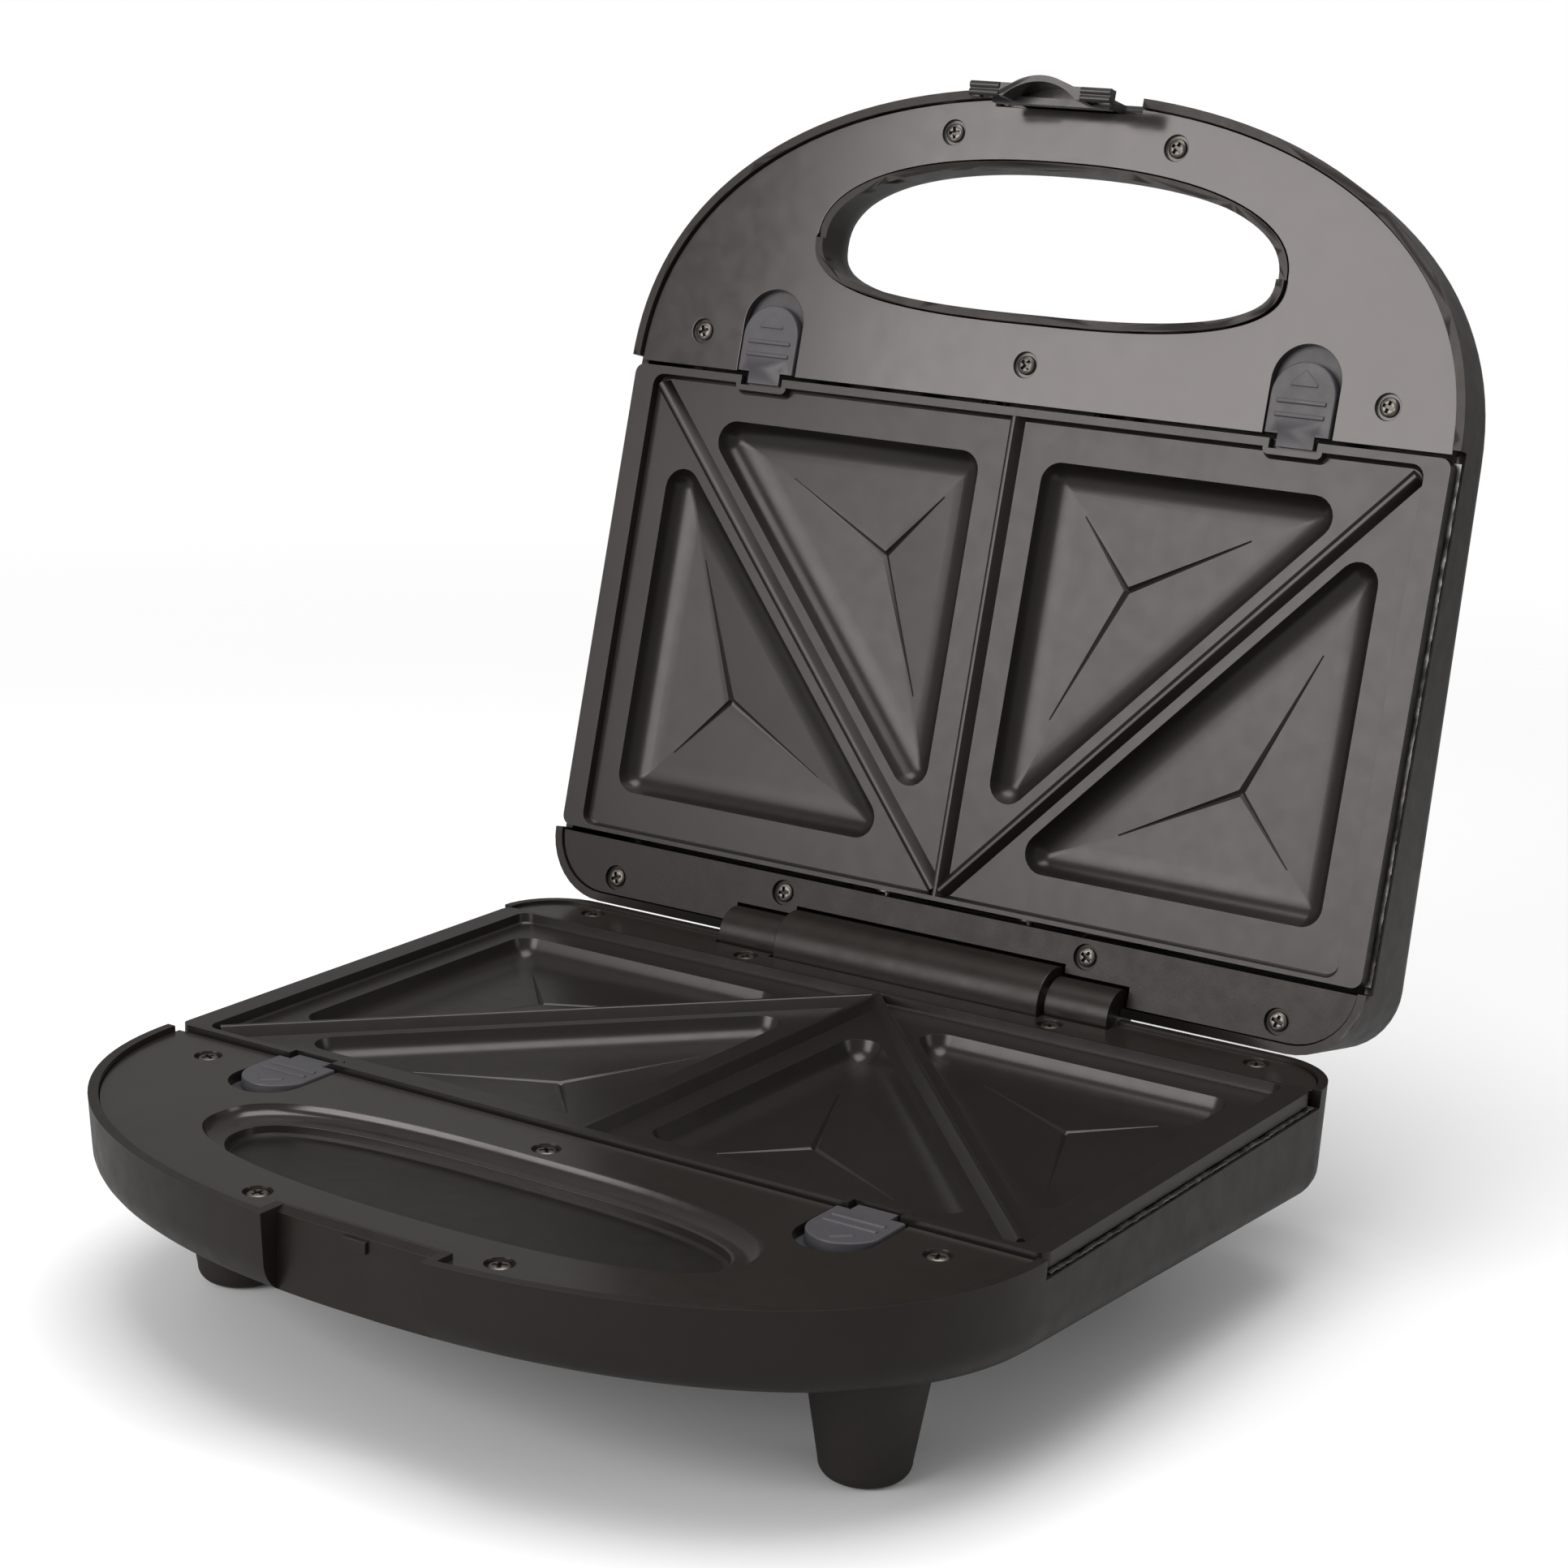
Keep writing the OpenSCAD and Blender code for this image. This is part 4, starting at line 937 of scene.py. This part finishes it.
button_plastic = surface(
    "bluish_grey_button_plastic", (0.046, 0.0445, 0.050), (0.056, 0.054, 0.060),
    rough=(0.4, 0.5), grain=2200, depth=0.00003,
)
spring_steel = surface(
    "spring_steel_wire", (0.42, 0.42, 0.43), (0.55, 0.55, 0.56),
    rough=(0.22, 0.34), grain=3000, depth=0.00001, metallic=1,
)
first_button = release_button("release_button")
first_spring = button_spring("button_spring")
for half, put, body in (("lower", put_on_base, "base"), ("upper", put_on_lid, "lid")):
    for hand, side in (("left", -1), ("right", 1)):
        name = f"{half}_{hand}"
        button = twin(first_button, f"{name}_button_slider")
        spring = twin(first_spring, f"{name}_spring_coil")
        for piece in (button, spring):
            piece.location.x = side * button_x
            settle(piece)
            put(piece)
        fit(button, button_plastic, f"{name}_button", "button_plastic", f"{name}_button")
        fit(spring, spring_steel, body, "steel", f"{name}_spring")
        low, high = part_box(f"{name}_spring")
        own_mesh(spring)
for piece in (first_button, first_spring):
    bpy.data.objects.remove(piece)


# The latch: a clip of dark plastic that hangs from a steel pin in the lid's front. A dome in
# the middle is for the thumb, a rolled bar on each side stiffens it, and a hook inside it
# snaps under the catch on the base's notch.
latch_half, latch_out, latch_in = 0.01875, -0.0742, -0.0718
latch_tip, latch_pin_y, latch_pin_z = -0.0135, -0.0724, 0.008
arm_half, tip_height, inner_face = 0.0128, 0.0026, -0.0706
dome_half, dome_foot, dome_top, dome_skin, dome_steps = 0.0112, -0.0712, -0.0764, 0.0015, 32
hook_half, hook_low, hook_high = 0.01575, -0.0074, -0.005
latch_pin_boss, latch_pin_bore = 0.0022, 0.00125


def dome_section(inset, foot, z, flatten=1):
    """Section of the dome across the clip: a round arch on a straight foot."""
    rise = (dome_foot - dome_top) * flatten - inset
    half = dome_half - inset
    radius = (half * half + rise * rise) / (2 * rise)
    places = []
    for step in range(dome_steps + 1):
        x = half * (2 * step / dome_steps - 1)
        places.append((x, dome_foot - rise + radius - math.sqrt(radius * radius - x * x), z))
    return places + [(half, foot, z), (-half, foot, z)]


latch = block((-latch_half, latch_out, latch_tip), (latch_half, latch_in, latch_tip + tip_height))
arm_low, arm_high = latch_tip + 0.002, latch_pin_z - 0.0007
weld(latch, block((-arm_half, latch_out, arm_low), (arm_half, latch_in, arm_high)))
dome_profile = [(0, 0, 1), (0, 0.0065, 1), (0.0006, 0.0088, 0.85), (0.0012, 0.0106, 0.62)]
weld(latch, loft("dome", [
    dome_section(inset, dome_foot + 0.0001, latch_tip + height, flatten)
    for inset, height, flatten in dome_profile
]))
for side in (-1, 1):
    near, end = side * (dome_half - 0.0003), side * latch_half
    for y, radius in ((-0.0734, 0.0009), (-0.0717, 0.0008)):
        level = latch_tip + 0.0004
        weld(latch, round_bar((near, y, level), (end, y, level), radius, 32))
    low, high = sorted((side * 0.0160, side * latch_half))
    rib_low, rib_high = latch_tip + 0.0003, latch_tip + 0.0022
    weld(latch, block((low, latch_in - 0.0005, rib_low), (high, inner_face, rib_high)))
boss_ends = [(x, latch_pin_y, latch_pin_z) for x in (-latch_half, latch_half)]
weld(latch, round_bar(*boss_ends, latch_pin_boss, 48))
cut(latch, loft("hollow", [
    dome_section(dome_skin, dome_foot + 0.004, latch_tip - 0.002),
    dome_section(dome_skin, dome_foot + 0.004, latch_tip + 0.0085),
]))
weld(latch, block(
    (-hook_half, latch_in - 0.0005, hook_low), (hook_half, inner_face, hook_high)
))
bore_ends = [(x, latch_pin_y, latch_pin_z) for x in (-0.03, 0.03)]
cut(latch, round_bar(*bore_ends, latch_pin_bore, 32))
soften(latch, 0.0003)
rename(latch, "latch_clip")
put_on_lid(latch)
latch_plastic = surface(
    "dark_latch_plastic", (0.016, 0.0145, 0.0145), (0.022, 0.0205, 0.0205),
    rough=(0.24, 0.32), grain=2200, depth=0.00002, specular=0.6,
)
fit(latch, latch_plastic, "latch", "shell_plastic", "latch")


# The panel screws: bronzed steel with a domed, cross-recessed head, nine in each half.
# They sit in dark countersinks, their heads just below the panel's face.
screw_steel = surface(
    "bronzed_screw_steel", (0.13, 0.115, 0.10), (0.22, 0.195, 0.175),
    rough=(0.32, 0.48), grain=1800, depth=0.00003, metallic=1,
)
shank_radius, head_radius, screw_tip = 0.0014, 0.0023, 0.0096
cross_half, cross_width, cross_depth, screw_lift = 0.0015, 0.0004, 0.0012, 0.00015


def turned_rings(profile, sides=64):
    """Rings of a turned solid from pairs of radius and height."""
    turns = [2 * math.pi * i / sides for i in range(sides)]
    return [
        [(radius * math.cos(a), radius * math.sin(a), z) for a in turns] for radius, z in profile
    ]


def panel_screw():
    """One screw at the origin, its head towards -z."""
    turned = [
        (0.0009, screw_tip), (shank_radius, 0.0085), (shank_radius, 0.0011), (head_radius, 0.00095),
        (head_radius, 0.0005), (head_radius - 0.0003, 0.0002), (head_radius - 0.001, 0.00002),
    ]
    screw = loft("screw", turned_rings(turned, 32))
    for turn in (0.3, 0.3 + math.pi / 2):
        bit = block((-cross_half, -cross_width, -0.001), (cross_half, cross_width, cross_depth))
        bit.rotation_euler.z = turn
        settle(bit)
        cut(screw, bit)
    soften(screw, 0.00008)
    return screw


def panel_screws(name):
    """All the screws of a half, each a separate solid of one group."""
    first = panel_screw()
    group = []
    for places, face in ((front_screws, panel_face), (rear_screws, rear_panel_face)):
        for turn, (x, y) in enumerate(places):
            screw = twin(first, "screw")
            screw.rotation_euler.z = turn * 0.9
            screw.location = (x, y, face + screw_lift)
            settle(screw)
            group.append(screw)
    bpy.data.objects.remove(first)
    alone(group[0])
    for screw in group:
        screw.select_set(True)
    bpy.ops.object.join()
    rename(group[0], name)
    return group[0]


lower_screws = panel_screws("lower_panel_screw_set")
upper_screws = twin(lower_screws, "upper_panel_screw_set")
fit_pair(lower_screws, upper_screws, screw_steel, "screw_steel", "panel_screws")


# The four feet: hard black rubber cones with rounded tips, pushed into the base's floor.
foot_x, foot_front_y = 0.081, -0.0135
foot_rear_x, foot_rear_y = 0.066, 0.108
root_radius, root_level, low_radius = 0.014, 0.018, 0.0094
flat_radius, rim_reach, rim_height = 0.0062, 0.0032, 0.0034
foot_rubber = surface(
    "black_foot_rubber", (0.0170, 0.0145, 0.0128), (0.0225, 0.0195, 0.0175),
    rough=(0.5, 0.62), grain=1700, depth=0.00005, specular=0.4,
)

for name, x, y in (
    ("front_left", -foot_x, foot_front_y), ("front_right", foot_x, foot_front_y),
    ("rear_left", -foot_rear_x, foot_rear_y), ("rear_right", foot_rear_x, foot_rear_y),
):
    top = base_front + (y + front_reach) * math.tan(half_tilt(base_front, base_rear)) - 0.0013
    tip = parting_height
    lean = (root_radius - low_radius) / (tip - rim_height - root_level)
    profile = [(root_radius - lean * (top - root_level), top), (low_radius, tip - rim_height)]
    for a in arc(8)[1:]:
        level = tip - rim_height + rim_height * math.sin(a)
        profile.append((flat_radius + rim_reach * math.cos(a), level))
    foot = loft(f"foot_{name}_cone", turned_rings(profile))
    foot.location = (x, y, 0)
    settle(foot)
    shade()
    put_on_base(foot)
    fit(foot, foot_rubber, "base", "rubber", f"foot_{name}")


# The cord gland: a soft rubber bush in the rear wall with a flange on each side of it.
gland_profile = [
    (0.0066, 0.1278), (0.0066, 0.1298), (0.0055, 0.13), (0.0055, 0.1369), (0.0068, 0.13705),
    (0.0072, 0.1375), (0.0072, 0.1386), (0.0066, 0.1392), (0.0040, 0.1392), (0.0034, 0.1388),
    (0.0034, 0.1284), (0.0038, 0.1278),
]
gland = loft("cord_gland_bush", turned_rings(gland_profile, 48))
pick_faces(gland, lambda face: len(face.verts) > 4)
bpy.ops.mesh.delete(type="FACE")
bpy.ops.mesh.select_mode(type="EDGE")
bpy.ops.mesh.select_non_manifold()
bpy.ops.mesh.bridge_edge_loops()
face_outwards()
gland.rotation_euler = (-math.pi / 2, 0, 0)
gland.location = (gland_x, 0, gland_level)
settle(gland)
shade()
put_on_base(gland)
fit(gland, foot_rubber, "base", "rubber", "cord_gland")


# The parts inside, which keep their CAD shapes: tube elements with their saddles, pins and
# bush, the terminal block, thermostat, fuse, leads and lamps, and the two lamp lenses.
def refinish(material, *names):
    """Gives nodes that keep their CAD shape a new material."""
    for name in names:
        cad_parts[name].data.materials.clear()
        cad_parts[name].data.materials.append(material)


element_steel = surface(
    "heat_tinted_element_sheath", (0.16, 0.145, 0.13), (0.3, 0.275, 0.25),
    rough=(0.35, 0.55), grain=1400, depth=0.00004, metallic=1,
)
plain_steel = surface(
    "drawn_steel", (0.42, 0.42, 0.42), (0.56, 0.56, 0.56),
    rough=(0.2, 0.36), grain=2400, depth=0.00002, metallic=1,
)
terminal_ceramic = surface(
    "cream_terminal_ceramic", (0.62, 0.58, 0.48), (0.72, 0.68, 0.58),
    rough=(0.4, 0.55), grain=1600, depth=0.00003,
)
thermostat_resin = surface(
    "brown_thermostat_resin", (0.16, 0.075, 0.035), (0.22, 0.11, 0.055),
    rough=(0.35, 0.5), grain=1600, depth=0.00003,
)
fuse_metal = surface(
    "fuse_brass", (0.5, 0.36, 0.13), (0.66, 0.48, 0.2),
    rough=(0.25, 0.4), grain=2000, depth=0.00002, metallic=1,
)
wire_sleeve = surface(
    "black_silicone_sleeve", (0.012, 0.011, 0.011), (0.02, 0.019, 0.018),
    rough=(0.4, 0.55), grain=2600, depth=0.00006,
)
refinish(element_steel, "lower_heating_element", "upper_heating_element")
refinish(plain_steel, "lower_element_clips", "upper_element_clips")
refinish(plain_steel, "latch_pin", "hinge_pin", "hinge_bush")
refinish(terminal_ceramic, "terminal_block")
refinish(thermostat_resin, "thermostat")
refinish(fuse_metal, "thermal_fuse")
refinish(wire_sleeve, "lower_wiring", "upper_wiring")


def lens_plastic(name, first, second):
    """Clear coloured plastic, a little frosted inside."""
    material = surface(
        name, first, second, rough=(0.08, 0.16), grain=1200, depth=0.00002
    )
    shader = material.node_tree.nodes["Principled BSDF"]
    shader.inputs["Transmission Weight"].default_value = 0.55
    shader.inputs["IOR"].default_value = 1.49
    return material


red_lens = lens_plastic("red_lamp_lens", (0.5, 0.01, 0.008), (0.62, 0.02, 0.015))
green_lens = lens_plastic("green_lamp_lens", (0.02, 0.36, 0.04), (0.035, 0.46, 0.07))
lamp_glass = lens_plastic("neon_lamp_glass", (0.75, 0.7, 0.62), (0.85, 0.8, 0.72))
refinish(red_lens, "power_lamp_lens")
refinish(green_lens, "ready_lamp_lens")
refinish(lamp_glass, "power_lamp", "ready_lamp")


# The set: a plain pale floor that fades out into the white behind it, and soft studio
# lamps. The sky is plain white to the camera and through clear pieces, about half as strong
# as light, and weaker still in reflections, where it would wash out the black plastic.
bpy.ops.mesh.primitive_plane_add(size=4, location=(0, 0, -0.0002))
floor = bpy.context.object
floor.name = "studio_floor"
floor_paint = surface(
    "pale_floor_paint", (0.87, 0.87, 0.87), (0.89, 0.89, 0.89),
    rough=(0.6, 0.7), grain=300, depth=0.00002, specular=0.2,
)
tree = floor_paint.node_tree
shader = tree.nodes["Principled BSDF"]
seen = tree.nodes.new("ShaderNodeLightPath").outputs["Is Camera Ray"]
paint = two_tones(tree, seen, (0.4, 0.4, 0.4), (0.9, 0.9, 0.9))
tree.links.new(paint, shader.inputs["Base Color"])
place = tree.nodes.new("ShaderNodeTexCoord").outputs["Object"]
away = wired(tree, "ShaderNodeVectorMath", Vector=place)
away.operation = "LENGTH"
fade = wired(tree, "ShaderNodeMapRange", Value=away.outputs["Value"], From_Min=0.35, From_Max=0.95)
fade.interpolation_type = "SMOOTHSTEP"
clear = tree.nodes.new("ShaderNodeBsdfTransparent")
blend = wired(tree, "ShaderNodeMixShader", Fac=fade.outputs["Result"])
tree.links.new(shader.outputs[0], blend.inputs[1])
tree.links.new(clear.outputs[0], blend.inputs[2])
tree.links.new(blend.outputs[0], tree.nodes["Material Output"].inputs["Surface"])
floor.data.materials.append(floor_paint)

world = bpy.data.worlds.new("studio")
bpy.context.scene.world = world
world.use_nodes = True
sky = world.node_tree
sky_light = sky.nodes["Background"]
sky_light.inputs["Color"].default_value = (1, 1, 1, 1)
ray = sky.nodes.new("ShaderNodeLightPath")
strength = sky.nodes.new("ShaderNodeValue").outputs[0]
strength.default_value = 0.55
for kind, level in (("Is Glossy Ray", 0.28), ("Is Transmission Ray", 1), ("Is Camera Ray", 1)):
    choice = sky.nodes.new("ShaderNodeMix")
    sky.links.new(ray.outputs[kind], choice.inputs["Factor"])
    sky.links.new(strength, choice.inputs["A"])
    choice.inputs["B"].default_value = level
    strength = choice.outputs["Result"]
sky.links.new(strength, sky_light.inputs["Strength"])


def soft_lamp(name, place, target, width, height, power):
    """A soft rectangular lamp aimed at a point."""
    bpy.ops.object.light_add(type="AREA", location=place)
    lamp = bpy.context.object
    lamp.name = name
    lamp.data.shape = "RECTANGLE"
    lamp.data.size = width
    lamp.data.size_y = height
    lamp.data.energy = power
    lamp.rotation_euler = (Vector(target) - Vector(place)).to_track_quat("-Z", "Y").to_euler()


soft_lamp(
    "front_softbox", place=(-0.42, -1.25, 0.62), target=(0, 0.05, 0.12),
    width=0.95, height=0.8, power=12.5,
)
soft_lamp(
    "overhead_softbox", place=(0.1, -0.05, 1.4), target=(0, 0, 0), width=1.1, height=1.0, power=14,
)
soft_lamp(
    "right_softbox", place=(1.25, 0.35, 0.38), target=(0, 0, 0.1), width=0.5, height=0.7, power=2.3,
)

bpy.context.scene.view_settings.view_transform = "Standard"
